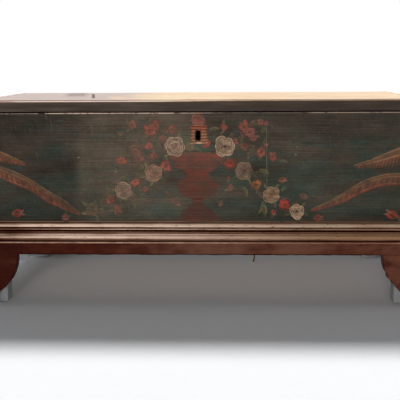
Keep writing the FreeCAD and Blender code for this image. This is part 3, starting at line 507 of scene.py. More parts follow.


# %% [markdown]
# Keys and hands have rubbed the paint off around the keyhole. There the wood shows orange, crossed by dark
# lines of the grain, in a soft-edged patch. The hole has a dark rim, and its walls are painted black as shade.

# %% Bare wood at the keyhole
RUBBED_LOW, RUBBED_HIGH = (-19, 456), (24, 507)             # (x, z) in millimetres
KEYHOLE_LOW, KEYHOLE_HIGH = (-7.5, 464), (6.5, 494)
KEYHOLE_TONES = ((0.5, rgb(16, 4, 2)), (0.68, rgb(92, 34, 22)), (0.84, rgb(170, 86, 54)), (0.97, rgb(222, 170, 128)))
KEYHOLE_RED, KEYHOLE_PALE, KEYHOLE_RIM_AND_SHADE = rgb(158, 54, 40), rgb(196, 170, 142), rgb(20, 8, 5)


def keyhole_wear(f, colour):
    """Orange wood with dark grain lines in a rubbed rectangle, a dark rim round the hole and painted shade inside it.
    """
    edge = f.shake(f.grain(9 * mm, 41.0), 14 * mm)
    ragged = f.shake(f.grain((40 * mm, 40 * mm, 2.4 * mm), 46.0, detail=1), 15 * mm)
    bare = f.times(f.within(f.plus(f.x, ragged), RUBBED_LOW[0] * mm, RUBBED_HIGH[0] * mm, 4 * mm),
                   f.within(f.plus(f.z, edge), RUBBED_LOW[1] * mm, RUBBED_HIGH[1] * mm, 2.5 * mm))
    line = grain_lines(f, 1.6, 2.0, 0.6)
    redder = f.times(f.over("z", 478, 500, 0, 0.55), f.level(line, 0.3, 0.6))
    wood = f.mix(redder, f.ramp(line, *KEYHOLE_TONES), KEYHOLE_RED)
    pale_foot = f.times(f.band("z", 457, 462, 1.5), f.band("x", -4, 10, 4), 0.6)
    wood = f.mix(pale_foot, wood, KEYHOLE_PALE)
    colour = f.mix(f.times(bare, 0.9), colour, wood)
    # a dark rim round the hole, and painted shade: the walls inside the hole are made black
    shaky = f.shake(f.grain(6 * mm, 43.0), 6 * mm)
    (left, foot), (right, top) = KEYHOLE_LOW, KEYHOLE_HIGH
    beside = f.times(f.within(f.plus(f.x, shaky), (left - 1) * mm, (right + 1) * mm, 1 * mm),
                     f.within(f.plus(f.z, shaky), foot * mm, top * mm, 1 * mm))
    inside = f.times(f.band("x", left, right, 0.3), f.over("y", 0.2, 0.8, at=FACE))
    return f.mix(f.times(f.either(beside, inside), 0.9), colour, KEYHOLE_RIM_AND_SHADE)


def ground_paint(name, along, seed):
    """Paint on the outside of a wall of the box, bare pine on its inside and on its hidden edges."""
    f = Finish(name, Specular_IOR_Level=PAINT_SHEEN)
    paint, paint_height = ground_layers(f, along)
    paint = keyhole_wear(f, worn_marks(f, paint, along))
    wood, wood_height = pine_layers(f, along, seed)
    side = f.level(f.math("ABSOLUTE", f.x), HALF - 1.2 * mm, HALF - 0.6 * mm)
    outside = f.either(side, f.over("y", 3.4, 2.8, at=FACE))
    roughness = f.level(f.grain(18 * mm, 3.0), 0.3, 0.7, 0.5, 0.68)
    return f.done(f.mix(outside, wood, paint), f.blend(outside, wood_height, paint_height), 0.22 * mm, roughness)


front_finish = ground_paint("painted_front", "X", 3.0)
end_finish = ground_paint("painted_ends", "Y", 6.0)
back_finish = ground_paint("back_and_its_edges", "X", 4.0)

# %% [markdown]
# ## The lid's paint and wax
# The lid's edge wears a brown-black coat that has gone from its top arris. Its upper side is scrubbed to the
# honey of the wood, under thin wax, with a painted rosy grey reflection towards the left, a scorch, a stain and
# a groove of grime behind the arris. The new meshes carry a number called rub, which says how far each point stands
# out.

# %% The lid
WAXED_HONEY, WAXED_PALE, ROSY_GREY_REFLECTION = rgb(226, 182, 124), rgb(236, 204, 154), rgb(168, 147, 140)
OLD_COAT, STAIN, SCORCH, WARM = rgb(96, 76, 58), rgb(98, 82, 86), rgb(84, 66, 48), rgb(226, 180, 130)
GROOVE_LEFT, GROOVE_RIGHT = rgb(122, 94, 82), rgb(100, 76, 56)
THUMBED_END, THUMBED = rgb(176, 132, 122), rgb(232, 208, 192)
EDGE_TONES = ((0.25, rgb(44, 36, 30)), (0.5, rgb(64, 54, 47)), (0.8, rgb(90, 78, 68)))
EDGE_DARK, ARRIS_LEFT, ARRIS_RIGHT = rgb(44, 33, 27), rgb(114, 84, 67), rgb(82, 60, 45)
LID_SEED = 2.0
MARKS_SLANT = 0.178                  # how far the marks on the lid lean sideways for their length
LID_FRONT = lid_low.y


def lid_top(f, wood):
    """Waxed wood with its marks, a painted reflection towards the left, and a mask of what is too dull to shine."""
    cloud = f.grain((150 * mm, 90 * mm, 90 * mm), LID_SEED + 2, detail=4)
    wax = f.mix(f.level(cloud, 0.4, 0.65), WAXED_HONEY, WAXED_PALE)
    # painted reflection: a rosy grey over the left of the lid's top
    wander = f.shake(f.grain(90 * mm, LID_SEED + 4, detail=5), 220 * mm)
    reflected_left = f.level(f.plus(f.x, wander), -110 * mm, -280 * mm)
    top = f.mix(0.2, f.mix(f.times(reflected_left, f.level(cloud, 0.3, 0.5, 0.7, 1.0)), wax, ROSY_GREY_REFLECTION), wood)
    coat = f.grain((110 * mm, 30 * mm, 30 * mm), LID_SEED + 6, detail=6, rough=0.65)
    top = f.mix(f.level(coat, 0.6, 0.72, 0, 0.45), top, OLD_COAT)
    uneven = f.shake(f.grain((120 * mm, 20 * mm, 20 * mm), LID_SEED + 5), 36 * mm)
    groove = f.times(f.over("y", 2, 8, at=LID_FRONT),
                     f.level(f.plus(f.y, uneven), LID_FRONT + 62 * mm, LID_FRONT + 40 * mm))
    top = f.mix(f.times(groove, 0.85), top, f.mix(f.over("x", -160, 60), GROOVE_LEFT, GROOVE_RIGHT))
    thumbed = f.times(f.over("y", 7, 4, at=LID_FRONT), f.over("x", 60, -150, 0.0, 0.75),
                      f.over("x", -100, -420, 0.75, 1.0))
    top = f.mix(thumbed, top, f.mix(f.over("x", -520, -485), THUMBED_END, THUMBED))
    slanted = f.plus(f.x, f.times(f.minus(f.y, LID_FRONT), MARKS_SLANT))
    scorch = f.times(f.within(slanted, -287 * mm, -277 * mm, 3 * mm), f.band("y", 150, 450, 25, at=LID_FRONT))
    stain = f.times(f.level(f.grain((60 * mm, 40 * mm, 40 * mm), 27.0, detail=4), 0.3, 0.5, 0.3, 1.0),
                    f.within(slanted, -372 * mm, -302 * mm, 15 * mm), f.over("y", 200, 340, at=LID_FRONT))
    warm = f.times(f.within(slanted, -232 * mm, -194 * mm, 15 * mm), f.band("y", 70, 260, 45, at=LID_FRONT))
    for mark, share, colour in ((stain, 0.62, STAIN), (scorch, 0.7, SCORCH), (warm, 0.5, WARM)):
        top = f.mix(f.times(mark, share), top, colour)
    dull = f.either(f.times(scorch, 0.9), f.times(stain, 0.6), f.times(groove, f.over("x", 300, -200, 0.9, 0.95)))
    return top, dull


def lid_edge(f, lines):
    """The brown-black coat, chipped to bare wood along the top arris, with a painted shade line at its foot over the
    gap.
    """
    tone = f.plus(f.times(f.grain((120 * mm, 40 * mm, 14 * mm), 9.0, detail=5), 0.7), f.times(lines, 0.35))
    edge = f.mix(f.over("x", -60, 560, 0, 0.6), f.ramp(tone, *EDGE_TONES), EDGE_DARK)
    chipped = f.level(f.grain((26 * mm, 9 * mm, 9 * mm), 14.0, detail=5, rough=0.7), 0.47, 0.56)
    worn = f.either(chipped, f.level(f.attribute("rub"), 0.5, 0.95, 0.55, 0.9))
    arris = f.times(f.over("z", -6.5, -2.5, at=LID_TOP), worn)
    edge = f.mix(arris, edge, f.mix(f.over("x", -300, 350), ARRIS_LEFT, ARRIS_RIGHT))
    # painted shade: a dark line along the foot of the lid's edge, where it meets the box
    shade_line_below = f.over("x", 0, 90, 0.3 * mm, 0.9 * mm)
    shade_line_below = f.level(f.minus(f.z, shade_line_below), LID_UNDER + 0.3 * mm, LID_UNDER - 0.3 * mm)
    return f.mix(shade_line_below, edge, GAP_SHADE)


def lid_finish(name, board):
    """Brown-black edges, a scrubbed top, bare pine underneath. The coat runs over all three boards, but each board
    has rings of its own."""
    f = Finish(name)
    wood, wood_height = pine_layers(f, "X", board)
    lines = streaks(f, "X", 8.0)
    top, dull = lid_top(f, wood)
    drop = f.over("x", -160, 160, 2.2 * mm, 0.0)
    on_top = f.times(f.level(f.plus(f.z, drop), LID_TOP - 1.8 * mm, LID_TOP - 0.6 * mm),
                     f.level(f.plus(f.y, drop), LID_FRONT + 1.8 * mm, LID_FRONT + 3.2 * mm))
    below = f.times(f.over("z", 1.2, 0.4, at=LID_UNDER), f.over("y", 4, 7, at=LID_FRONT))
    colour = f.mix(below, f.mix(on_top, lid_edge(f, lines), top), wood)
    height = f.plus(f.times(wood_height, 0.6), f.times(lines, 0.4))
    roughness = f.either(f.level(on_top, 0.0, 1.0, 0.7, 0.4), f.times(dull, 0.9))
    sheen = f.times(f.level(on_top, 0.0, 1.0, 0.06, 0.5), f.minus(1.0, dull))
    return f.done(colour, height, 0.16 * mm, roughness, sheen)


BOARD_RINGS = (("front", 2.0), ("middle", 9.0), ("rear", 13.0))
lid_finishes = {word: lid_finish(f"scrubbed_{word}", board) for word, board in BOARD_RINGS}

# %% [markdown]
# ## The mouldings' paint
# The mouldings were red-brown. What stands out of them is rubbed down to bare pinkish wood, and what faces up is
# painted paler still, as highlight from light above; what lies back is nearly black, old dirt with painted shade.
# Each member of the section gets its own share of wear and painted light, by its height above the box's foot: the
# rounded band and the cove below, the bead and the nose above, and creases between them.

# %% The mouldings
ROSY_BARE_AND_LIT, UPPER_BARE_AND_LIT, LOWER_BARE_AND_LIT = rgb(228, 196, 174), rgb(158, 134, 112), rgb(130, 96, 64)
# the darkest tone, for what lies back, is dirt and painted shade
MOULDING_TONES = ((0.0, rgb(34, 8, 1)), (0.2, rgb(72, 42, 28)), (0.45, rgb(116, 84, 66)))
CREASE_SHADE, SCUFFED = rgb(28, 5, 0), rgb(70, 40, 26)


def moulding_wear_and_light(f, low):
    """How pale each member is, from 0 to 1: partly wear, partly painted highlight on what faces up, with the cove
    lifted against its shade. The height low leans, as the mouldings are more worn at one end.
    """
    foot = BOX_FOOT
    band = f.either(f.level(low, foot - 1.5 * mm, foot + 2.5 * mm, 0, 0.34),
                    f.level(low, foot + 1.6 * mm, foot + 10.0 * mm))
    band = f.times(band, f.over("z", 23, 18, at=foot))
    band = f.minus(band, f.times(f.band("z", 12.4, 16.4, 1, at=foot), f.over("x", -250, -450, 0, 0.12)))
    # the cove is made paler against the shade in its hollow: partly painted light
    cove = f.times(f.band("z", 20, 25.2, 1.2, at=foot), f.over("x", -400, -150, 0.5, 0.68))
    bead = f.either(f.band("z", 30.8, 33.4, 0.9, at=foot), f.times(f.band("z", 33, 37.5, 1, at=foot), 0.55))
    bead = f.times(bead, f.times(f.over("x", -440, -280, 0.55, 0.95), f.over("x", 60, 300, 1.0, 0.75)))
    nose = f.times(f.level(low, foot + 36.2 * mm, foot + 39.6 * mm), f.over("z", 50.2, 44.8, 0.45, 1.0, at=foot))
    worn = f.minus(f.either(band, nose, bead, cove), f.over("x", -400, -560, 0, 0.26),
                   f.times(f.over("z", 6, 3, at=foot), f.over("x", 120, 300, 0, 0.2)),
                   f.times(f.band("z", 38, 42.4, 0.6, at=foot), f.over("x", 300, 460, 0, 0.22)))
    return f.plus(worn, f.times(f.band("z", 18, 21.6, 1, at=foot), f.band("x", -220, 30, 40), 0.2))


def moulding_finish(name, along):
    """Nearly black in the hollows, from dirt and painted shade; pale rosy wood where hands and dusters reach and
    painted highlight where light from above would catch; yellower at the right end.
    """
    f = Finish(name, Roughness=0.5)
    lines = streaks(f, along, 15.0)
    cloud = f.grain(stretched(32 * mm, along, 2.5), 4.0, detail=5, rough=0.6)
    low = f.plus(f.z, f.over("x", -520, 120, -1.5 * mm, 0.0))
    worn = f.plus(f.times(moulding_wear_and_light(f, low), 0.78), f.times(f.attribute("rub"), 0.22), f.shake(cloud, 0.5),
                  f.shake(lines, 0.5))
    upper = f.over("z", 28, 32, at=BOX_FOOT)
    bare = f.mix(f.over("x", -480, 480), ROSY_BARE_AND_LIT, f.mix(upper, LOWER_BARE_AND_LIT, UPPER_BARE_AND_LIT))
    # pale where worn and where light from above would catch: partly painted highlight
    colour = f.mix(f.level(worn, 0.45, 0.95), f.ramp(worn, *MOULDING_TONES), bare)
    # painted shade: the quirk, the crease over the lower moulding and the joint with the rail go near black
    quirk = f.times(f.band("z", 35.8, 38.4, 0.5, at=BOX_FOOT), f.over("x", -480, -330, 0.7, 0.1))
    lower_right = f.plus(f.z, f.over("x", -380, 120, 0.0, 1.4 * mm))
    crease_shade = f.either(f.within(lower_right, BOX_FOOT + 25.2 * mm, BOX_FOOT + 29.6 * mm, 0.4 * mm), quirk,
                      f.over("z", 2.4, 0.8, at=BOX_FOOT))
    colour = f.mix(f.times(crease_shade, 0.95), colour, CREASE_SHADE)
    scuff = f.level(f.grain(stretched(5 * mm, along, 3), 25.0, detail=4), 0.6, 0.69, 0, 0.7)
    height = f.plus(f.times(lines, 0.6), f.times(cloud, 0.6))
    return f.done(f.mix(scuff, colour, SCUFFED), height, 0.25 * mm, sheen=f.level(worn, 0.35, 0.9, 0.0, 0.15))


moulding_long, moulding_deep = moulding_finish("rubbed_moulding", "X"), moulding_finish("rubbed_moulding_ends", "Y")

# %% [markdown]
# ## The base's paint
# The rails and feet keep the most of their red. It is streaked along the grain, dusty towards the right, dark at
# the left end, and bare along the worn arrises. Along the rail's lower edge it is painted near black, as shade.
# Their inner sides were never painted and are grey with dust, a grey matched to the shade on the floor.

# %% The base
RED_TONES = ((0.2, rgb(36, 7, 2)), (0.42, rgb(66, 20, 8)), (0.6, rgb(84, 38, 22)), (0.8, rgb(108, 72, 54)))
RED_DUSTY, RED_DARK, RED_UNDER_SHADE = rgb(104, 72, 56), rgb(36, 8, 3), rgb(30, 7, 2)
BARE_LEFT, BARE_RIGHT, LOW_EDGE_SHADE, BARE_FLECK = rgb(182, 142, 120), rgb(134, 94, 74), rgb(26, 8, 4), rgb(150, 112, 90)
RAIL_INSIDE = -60, -20               # where the sides of rails and feet begin to be seen as dusty, y in millimetres


def base_finish(name, along):
    """Red-brown paint, streaked and dusty, bare of it along the worn arrises, with painted shade along the rail's lower
    edge.
    """
    f = Finish(name, Roughness=0.55, Specular_IOR_Level=0.03)
    lines = streaks(f, along, 18.0)
    cloud = f.grain(stretched(45 * mm, along, 2.0), 9.0, detail=6, rough=0.62)
    colour = f.ramp(f.plus(f.times(cloud, 0.85), f.shake(lines, 0.8)), *RED_TONES)
    dusty = f.times(f.over("x", -340, 20), f.level(cloud, 0.35, 0.6, 0.2, 0.7), f.over("x", 200, 420, 1.0, 0.6))
    colour = f.mix(dusty, colour, RED_DUSTY)
    colour = f.mix(f.over("x", -120, -560, 0, 0.6), colour, RED_DARK)
    chipped = f.level(f.grain(stretched(9 * mm, along, 3), 33.0, detail=5, rough=0.7), 0.42, 0.6)
    top_arris = f.band("z", -4.6, -1.6, 0.8, at=BOX_FOOT)
    low_arris = f.times(f.level(f.attribute("rub"), 0.3, 0.75), f.over("z", -28, -33, 0.4, 0.8, at=BOX_FOOT))
    bare = f.times(f.either(low_arris, top_arris), f.level(chipped, 0, 1, 0.6, 1.0))
    paler = f.mix(f.over("x", -200, 450), BARE_LEFT, BARE_RIGHT)
    # along the lower arris the colour turns near black: painted shade at the rail's foot
    colour = f.mix(bare, colour, f.mix(f.over("z", -28, -33, at=BOX_FOOT), paler, LOW_EDGE_SHADE))
    fleck = f.level(f.grain(stretched(3.5 * mm, along, 3), 39.0, detail=4, rough=0.7), 0.62, 0.72, 0, 0.4)
    colour = f.mix(f.times(fleck, f.over("x", -200, 100, 0.3, 1.0)), colour, BARE_FLECK)
    # painted shade along the rail's lower edge and underside, between the feet
    from_middle = f.math("ABSOLUTE", f.x)
    under = f.times(f.band("z", -42, -34.2, 0.9, at=BOX_FOOT), f.over("y", 10, 0, at=FACE),
                    f.level(from_middle, 485 * mm, 470 * mm))
    colour = f.mix(f.times(under, 0.85), colour, RED_UNDER_SHADE)
    # grey dust on the inner sides, in a grey matched to the floor's shade
    inner = f.times(f.level(from_middle, HALF + 23 * mm, HALF + 21 * mm), f.over("y", *RAIL_INSIDE),
                    f.over("y", -2, -4, at=BACK), f.level(f.z, RIM, BOX_FOOT))
    colour = f.mix(f.times(inner, 0.9), colour, DUST_SHADE_GREY)
    return f.done(colour, f.plus(f.times(lines, 0.5), f.times(cloud, 0.8)), 0.4 * mm)


base_long, base_deep = base_finish("red_base", "X"), base_finish("red_base_ends", "Y")

# %% [markdown]
# ## Forged iron
# The straps, lock and bails came from a smith's hammer: shallow round dents, a brown-black skin, rust in the
# low places and a little bare shine where the bails rub. Dents are the distance to the nearest of many
# scattered points, which is what a Voronoi texture gives. Where the lock's case is seen through the keyhole it is
# painted near black and matt, as shade.

# %% Iron
IRON_DARK, IRON_PALE, IRON_BRIGHT, RUST, KEYHOLE_SHADE_BLACK = (rgb(*c) for c in (
    (44, 40, 37), (76, 70, 64), (150, 144, 136), (86, 50, 32), (5, 3, 2)))


def forged_iron(name, shine):
    """Hammered iron. Shine is the share of bare metal."""
    f = Finish(name, Metallic=0.75)
    dents = f.cells((6 * mm,) * 3, 2.0, feature="SMOOTH_F1")
    pits = f.grain(1.4 * mm, 5.0, detail=5, rough=0.7)
    rust = f.level(f.grain(14 * mm, 8.0, detail=6, rough=0.65), 0.48, 0.66)
    skin = f.mix(f.level(pits, 0.35, 0.65), IRON_DARK, IRON_PALE)
    skin = f.mix(f.times(f.level(pits, 0.55, 0.7), shine), skin, IRON_BRIGHT)
    # painted shade: the part of the lock's case seen through the keyhole is near black and does not shine
    seen_through_keyhole = f.times(f.band("x", -11, 11, 2), f.band("z", 458, 500, 2), f.over("y", 48, 44, at=FACE))
    colour = f.mix(seen_through_keyhole, f.mix(f.times(rust, 0.75), skin, RUST), KEYHOLE_SHADE_BLACK)
    height = f.plus(f.times(dents, 0.8), f.times(pits, 0.25))
    roughness = f.level(rust, 0.0, 1.0, 0.48, 0.85)
    return f.done(colour, height, 0.35 * mm, roughness, f.level(seen_through_keyhole, 0.0, 1.0, 0.5, 0.0))


plain_iron = forged_iron("forged_iron", 0.25)
handled_iron = forged_iron("handled_iron", 0.8)

# %% [markdown]
# ## Surfaces with wear in them
# A board that has been knocked about for two centuries has no true arris left. Each outer board is therefore
# made again as a surface of two parameters: one runs round its outline, the other along its length. The
# outline is planned with real radii, then every point sinks a little along its own normal, most where it
# stands out. The sinking depth is a sum of sines in space, so it needs no random texture, and it keeps the
# surface inside the solid's box to about a tenth of a millimetre.

# %% Lines and outlines
SINES = 9


def waves(points, length, seed):
    """Smooth bumps between about -1 and 1: twice the mean of nine sines, each along its own direction in space,
    with wavelengths round about one length."""
    draw = np.random.default_rng(seed)
    ways = draw.normal(size=(SINES, 3))
    ways /= np.linalg.norm(ways, axis=1)[:, None]
    pace = 2 * np.pi / (length * draw.uniform(0.6, 1.8, SINES))
    return np.sin(points @ (ways * pace[:, None]).T + draw.uniform(0, 2 * np.pi, SINES)).sum(-1) / (0.5 * SINES)


def unit(vectors):
    """The same directions at length 1."""
    return vectors / np.maximum(np.linalg.norm(vectors, axis=-1, keepdims=True), 1e-12)


def way_at(turn):
    """The direction at an angle, as (cos a, sin a)."""
    return np.array([math.cos(turn), math.sin(turn)])


def arc(centre, radius, start, end, count):
    """Points at centre + radius (cos a, sin a), with a from start to end."""
    a = np.linspace(start, end, count)
    return np.asarray(centre) + radius * np.stack([np.cos(a), np.sin(a)], 1)


def rounded(corners, step):
    """A closed outline in metres. A corner is (u, v, radius) in millimetres: it becomes the arc that touches both
    its sides, a turn of its start point into its end point about the centre, and straights are cut to a step."""
    corners = np.array(corners, float) * mm
    here, radii = corners[:, :2], corners[:, 2]
    ahead = unit(np.roll(here, -1, 0) - here)
    behind = -np.roll(ahead, 1, 0)
    half = 0.5 * np.arccos(np.clip((ahead * behind).sum(1), -1, 1))
    reach = radii / np.tan(half)
    starts, ends = here + behind * reach[:, None], here + ahead * reach[:, None]
    centres = here + unit(ahead + behind) * (radii / np.sin(half))[:, None]
    pieces = []
    for n, radius in enumerate(radii):
        turn = math.pi - 2 * half[n]
        share = np.linspace(0, 1, max(4, math.ceil(turn * radius / (0.5 * step)) + 1))[:, None]
        first, last = starts[n] - centres[n], ends[n] - centres[n]
        pieces.append(centres[n] + (np.sin((1 - share) * turn) * first + np.sin(share * turn) * last) / math.sin(turn))
        after = starts[(n + 1) % len(radii)]
        cuts = math.ceil(np.linalg.norm(after - ends[n]) / step)
        share = np.arange(1, cuts)[:, None] / max(cuts, 1)
        pieces.append(ends[n] + share * (after - ends[n]))
    loop = np.concatenate(pieces)
    return loop[np.linalg.norm(np.roll(loop, -1, 0) - loop, axis=1) > 1e-6]


def outward(loop):
    """The outward direction at each point: the way along the loop, turned a quarter to its outer side."""
    along = unit(np.roll(loop, -1, 0) - np.roll(loop, 1, 0))
    after = np.roll(loop, -1, 0)
    turning = np.sign((loop[:, 0] * after[:, 1] - loop[:, 1] * after[:, 0]).sum())
    return np.stack([along[:, 1], -along[:, 0]], 1) * turning


def standing_out(loop, reach=4 * mm):
    """How far each point stands out of the outline blurred over a reach: 0 on a flat, near 1 on a sharp arris,
    below 0 in a hollow. The blur weighs each point by a bell curve of its distance and by its share of length."""
    before = np.linalg.norm(loop - np.roll(loop, 1, 0), axis=1)
    share = before + np.roll(before, -1)
    gap = np.linalg.norm(loop[:, None] - loop[None], axis=2)
    weight = np.exp(-(gap / reach) ** 2) * share
    blurred = (weight @ loop) / weight.sum(1)[:, None]
    return ((loop - blurred) * outward(loop)).sum(1) / (0.4 * reach)


print("a 30 by 20 mm bar with 3 mm arrises has", len(rounded([(0, 0, 3), (30, 0, 3), (30, 20, 3), (0, 20, 3)], mm)),
      "points round it at 1 mm")

# %% [markdown]
# An outline becomes a surface by being carried from one end of its run to the other. The mesh is closed with one
# face over each end and turned outwards, and the piece is told which body it moves with and which solids it
# stands for.

# %% Surfaces and pieces
SHARP = math.radians(40)             # edges that turn more than this are shaded sharp
DENT_LENGTH = 70 * mm
END_LOSS, END_REACH = 0.6 * mm, 0.5 * mm
END_RUBBED = 4 * mm                  # how far from an end the paint is rubbed


def rows_along(length, step, ease=2.5 * mm):
    """Shares from 0 to 1: even steps, with a few closer ones at both ends, where the arrises are rounded."""
    close = np.array([0, 0.1, 0.25, 0.5, 1.0]) * ease
    middle = np.linspace(ease, length - ease, max(2, math.ceil(length / step)))[1:-1]
    return np.concatenate([close, middle, length - close[::-1]]) / length


def closed_mesh(name, points, faces):
    """A mesh whose faces are turned outwards."""
    mesh = bpy.data.meshes.new(name)
    mesh.from_pydata(points.reshape(-1, 3).tolist(), [], faces)
    whole = bmesh.new()
    whole.from_mesh(mesh)
    bmesh.ops.recalc_face_normals(whole, faces=whole.faces)
    whole.to_mesh(mesh)
    whole.free()
    return mesh


def fitted(mesh, finish, body, slot, *replaced):
    """Puts a finished mesh on its body, in place of the solids it stands for."""
    piece = bpy.data.objects.new(mesh.name, mesh)
    bpy.context.collection.objects.link(piece)
    mesh.materials.append(finish)
    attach(piece, body)
    if replaced:
        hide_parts(*replaced)


def solid(name, points, rub, finish, body, slot, *replaced):
    """A closed piece from a grid of points, rows by loop: quads all round, and one face over each end."""
    rows, around = points.shape[:2]
    place = np.arange(rows * around).reshape(rows, around)
    beside = np.roll(place, -1, 1)
    quads = np.stack([place[:-1], beside[:-1], beside[1:], place[1:]], -1)
    mesh = closed_mesh(name, points, quads.reshape(-1, 4).tolist() + [place[0].tolist(), place[-1].tolist()])
    mesh.attributes.new("rub", "FLOAT", "POINT").data.foreach_set("value", rub.astype(np.float32).ravel())
    mesh.polygons.foreach_set("use_smooth", np.ones(len(mesh.polygons), bool))
    mesh.set_sharp_from_angle(angle=SHARP)
    fitted(mesh, finish, body, slot, *replaced)
    print(f"{name}: {len(mesh.polygons)} faces")


def carried(loop, starts, ends, out, up, step, dent, wear, seed, ragged=9 * mm):
    """A loop carried along a run: point (t, j) lies a share t of the way from starts[j] to ends[j]. It sinks by
    dents, by wear where it stands out and the ragged waves are high, and by a little rounding at each end."""
    length = np.linalg.norm(ends - starts, axis=1).max()
    share = rows_along(length, step)
    points = starts + share[:, None, None] * (ends - starts)
    stands = standing_out(loop)
    normal = outward(loop) @ np.array([out, up], float)
    from_end = np.minimum(share, 1 - share)[:, None] * length
    rough = 0.5 + 0.5 * waves(points, ragged, seed) + 0.6 * waves(points, 3 * ragged, seed + 1)
    sink = dent * (0.5 + 0.5 * waves(points, DENT_LENGTH, seed + 2))
    sink = sink + wear * np.clip(stands, 0, 1.2) * np.clip(rough, 0, 1.5)
    sink = sink + END_LOSS * np.exp(-from_end / END_REACH)
    rub = stands + 0.5 * np.exp(-from_end / END_RUBBED)
    return points - sink[..., None] * normal, rub


# %% [markdown]
# ## The lid
# Three wide planks, glued edge to edge and nailed down to their cleats. The front one has a thumb-worn upper
# arris. Each plank's outline is carried from end to end, and each top stands a little higher in its middle than
# at its edges, so the joints between the planks show as shallow valleys.

# %% Lid planks
LID_SPEC = (
    # which plank, radii of its front arrises above and below, and of its upper back arris
    ("front", 4.6, 2.0, 0.9),
    ("middle", 1.0, 0.8, 0.9),
    ("rear", 1.0, 0.8, 2.6),
)
LOWER_BACK_ARRIS = 0.8
CROWN = 0.5 * mm                     # how far a plank's middle stands above its joints


def across_end(loop, x, y, z):
    """The loop, given as (distance back, height), placed in the plane of an end."""
    return np.stack([np.full(len(loop), x), y + loop[:, 0], z + loop[:, 1]], 1)


for number, (word, top_arris, low_arris, back_arris) in enumerate(LID_SPEC):
    low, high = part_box(f"lid_plank_{word}")
    deep, thick = (high.y - low.y) / mm, (high.z - low.z) / mm
    outline = rounded([(0, 0, low_arris), (deep, 0, LOWER_BACK_ARRIS), (deep, thick, back_arris),
                       (0, thick, top_arris)], 4.0 * mm)
    points, rub = carried(outline, across_end(outline, low.x, low.y, low.z), across_end(outline, high.x, low.y, low.z),
                          (0, 1, 0), (0, 0, 1), step=8 * mm, dent=0.35 * mm, wear=0.8 * mm, seed=10 + number)
    across = (points[..., 1] - low.y) / (high.y - low.y)
    on_top = points[..., 2] > low.z + 0.5 * (high.z - low.z)
    points[..., 2] -= on_top * CROWN * (1 + np.cos(2 * np.pi * across)) * 0.5
    solid(f"lid_board_{word}", points, rub, lid_finishes[word], "lid", "lid_paint", f"lid_plank_{word}")

# %% [markdown]
# ## Mouldings and rails
# Two planed mouldings go round the foot of the box on top of the plinth rail. Their sections are real moulding
# profiles: below, a rounded flat, an ovolo, a fillet and a cove; above, a recess, a bead, a quirk and a nose.
# The front lengths end in mitres, so each point of the section starts and ends at its own reach from the
# corner. The returns along the ends start in the same mitres and stop square at the back.

# %% Sections and runs
# reach, height and radius of each corner
LOWER_SECTION = ((0, 0, 0.3), (24, 0, 7), (24, 17, 6), (17, 17, 0.5), (17, 20, 0.6), (9, 20, 7.8), (9, 29, 0.4),
                 (0, 29, 0.3))
UPPER_SECTION = ((0, 0, 0.3), (9, 0, 0.3), (9, 2, 0.6), (16.5, 2, 2.4), (16.5, 7, 2.4), (12, 7, 0.5),
                 (12, 9.3, 0.5), (16, 9.3, 0.7), (16, 21, 10.6), (0, 21, 0.3))
RAIL_SECTION = ((-35, 0, 0.4), (27, 0, 1.0), (27, 38, 2.4), (-35, 38, 0.4))


def front_run(section, foot, **wear):
    """A section of (reach, height) carried along the front. Its ends lie at HALF plus each point's own reach."""
    reach, height = section[:, 0], foot + section[:, 1]
    start = np.stack([-HALF - reach, FACE - reach, height], 1)
    end = start * (-1, 1, 1)
    return carried(section, start, end, (0, -1, 0), (0, 0, 1), **wear)


def end_run(section, foot, side, **wear):
    """The same section carried along one end, from its mitre at the front to the square back."""
    reach, height = section[:, 0], foot + section[:, 1]
    start = np.stack([side * (HALF + reach), FACE - reach, height], 1)
    end = np.stack([side * (HALF + reach), np.full(len(reach), BACK), height], 1)
    return carried(section, start, end, (side, 0, 0), (0, 0, 1), **wear)


def all_round(node, corners, fine, slot, finishes, seed, **wear):
    """Front, left and right lengths of one section, standing where the solids of that name stand."""
    section = rounded(corners, fine)
    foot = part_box(f"{node}_front")[0].z
    for number, (word, side) in enumerate((("front", 0), ("left", -1), ("right", 1))):
        wear["seed"] = seed + 5 * number
        points, rub = end_run(section, foot, side, **wear) if side else front_run(section, foot, **wear)
        name = f"{node.replace('_', '_worn_')}_{word}"
        solid(name, points, rub, finishes[abs(side)], "chest", slot, f"{node}_{word}")


MOULDING_FINISHES, BASE_FINISHES = (moulding_long, moulding_deep), (base_long, base_deep)
all_round("lower_moulding", LOWER_SECTION, 1.2 * mm, "moulding_paint", MOULDING_FINISHES, 40,
          step=6 * mm, dent=0.15 * mm, wear=0.5 * mm, ragged=12 * mm)
all_round("upper_moulding", UPPER_SECTION, 1.0 * mm, "moulding_paint", MOULDING_FINISHES, 60,
          step=6 * mm, dent=0.15 * mm, wear=0.45 * mm, ragged=12 * mm)
all_round("base_rail", RAIL_SECTION, 2.5 * mm, "base_paint", BASE_FINISHES, 80,
          step=6 * mm, dent=0.4 * mm, wear=1.3 * mm, ragged=14 * mm)

# %% [markdown]
# ## Bracket feet
# Each foot is a board with a long convex knee that runs out into a small hollow at the ankle, and a straight
# pad below. Here the two parameters are the height and the way round the board's outline in plan: the outline
# keeps its thickness and its mitre, and only its free edge moves in and out with the curve. One knee has lost
# a few bites where it has been kicked.

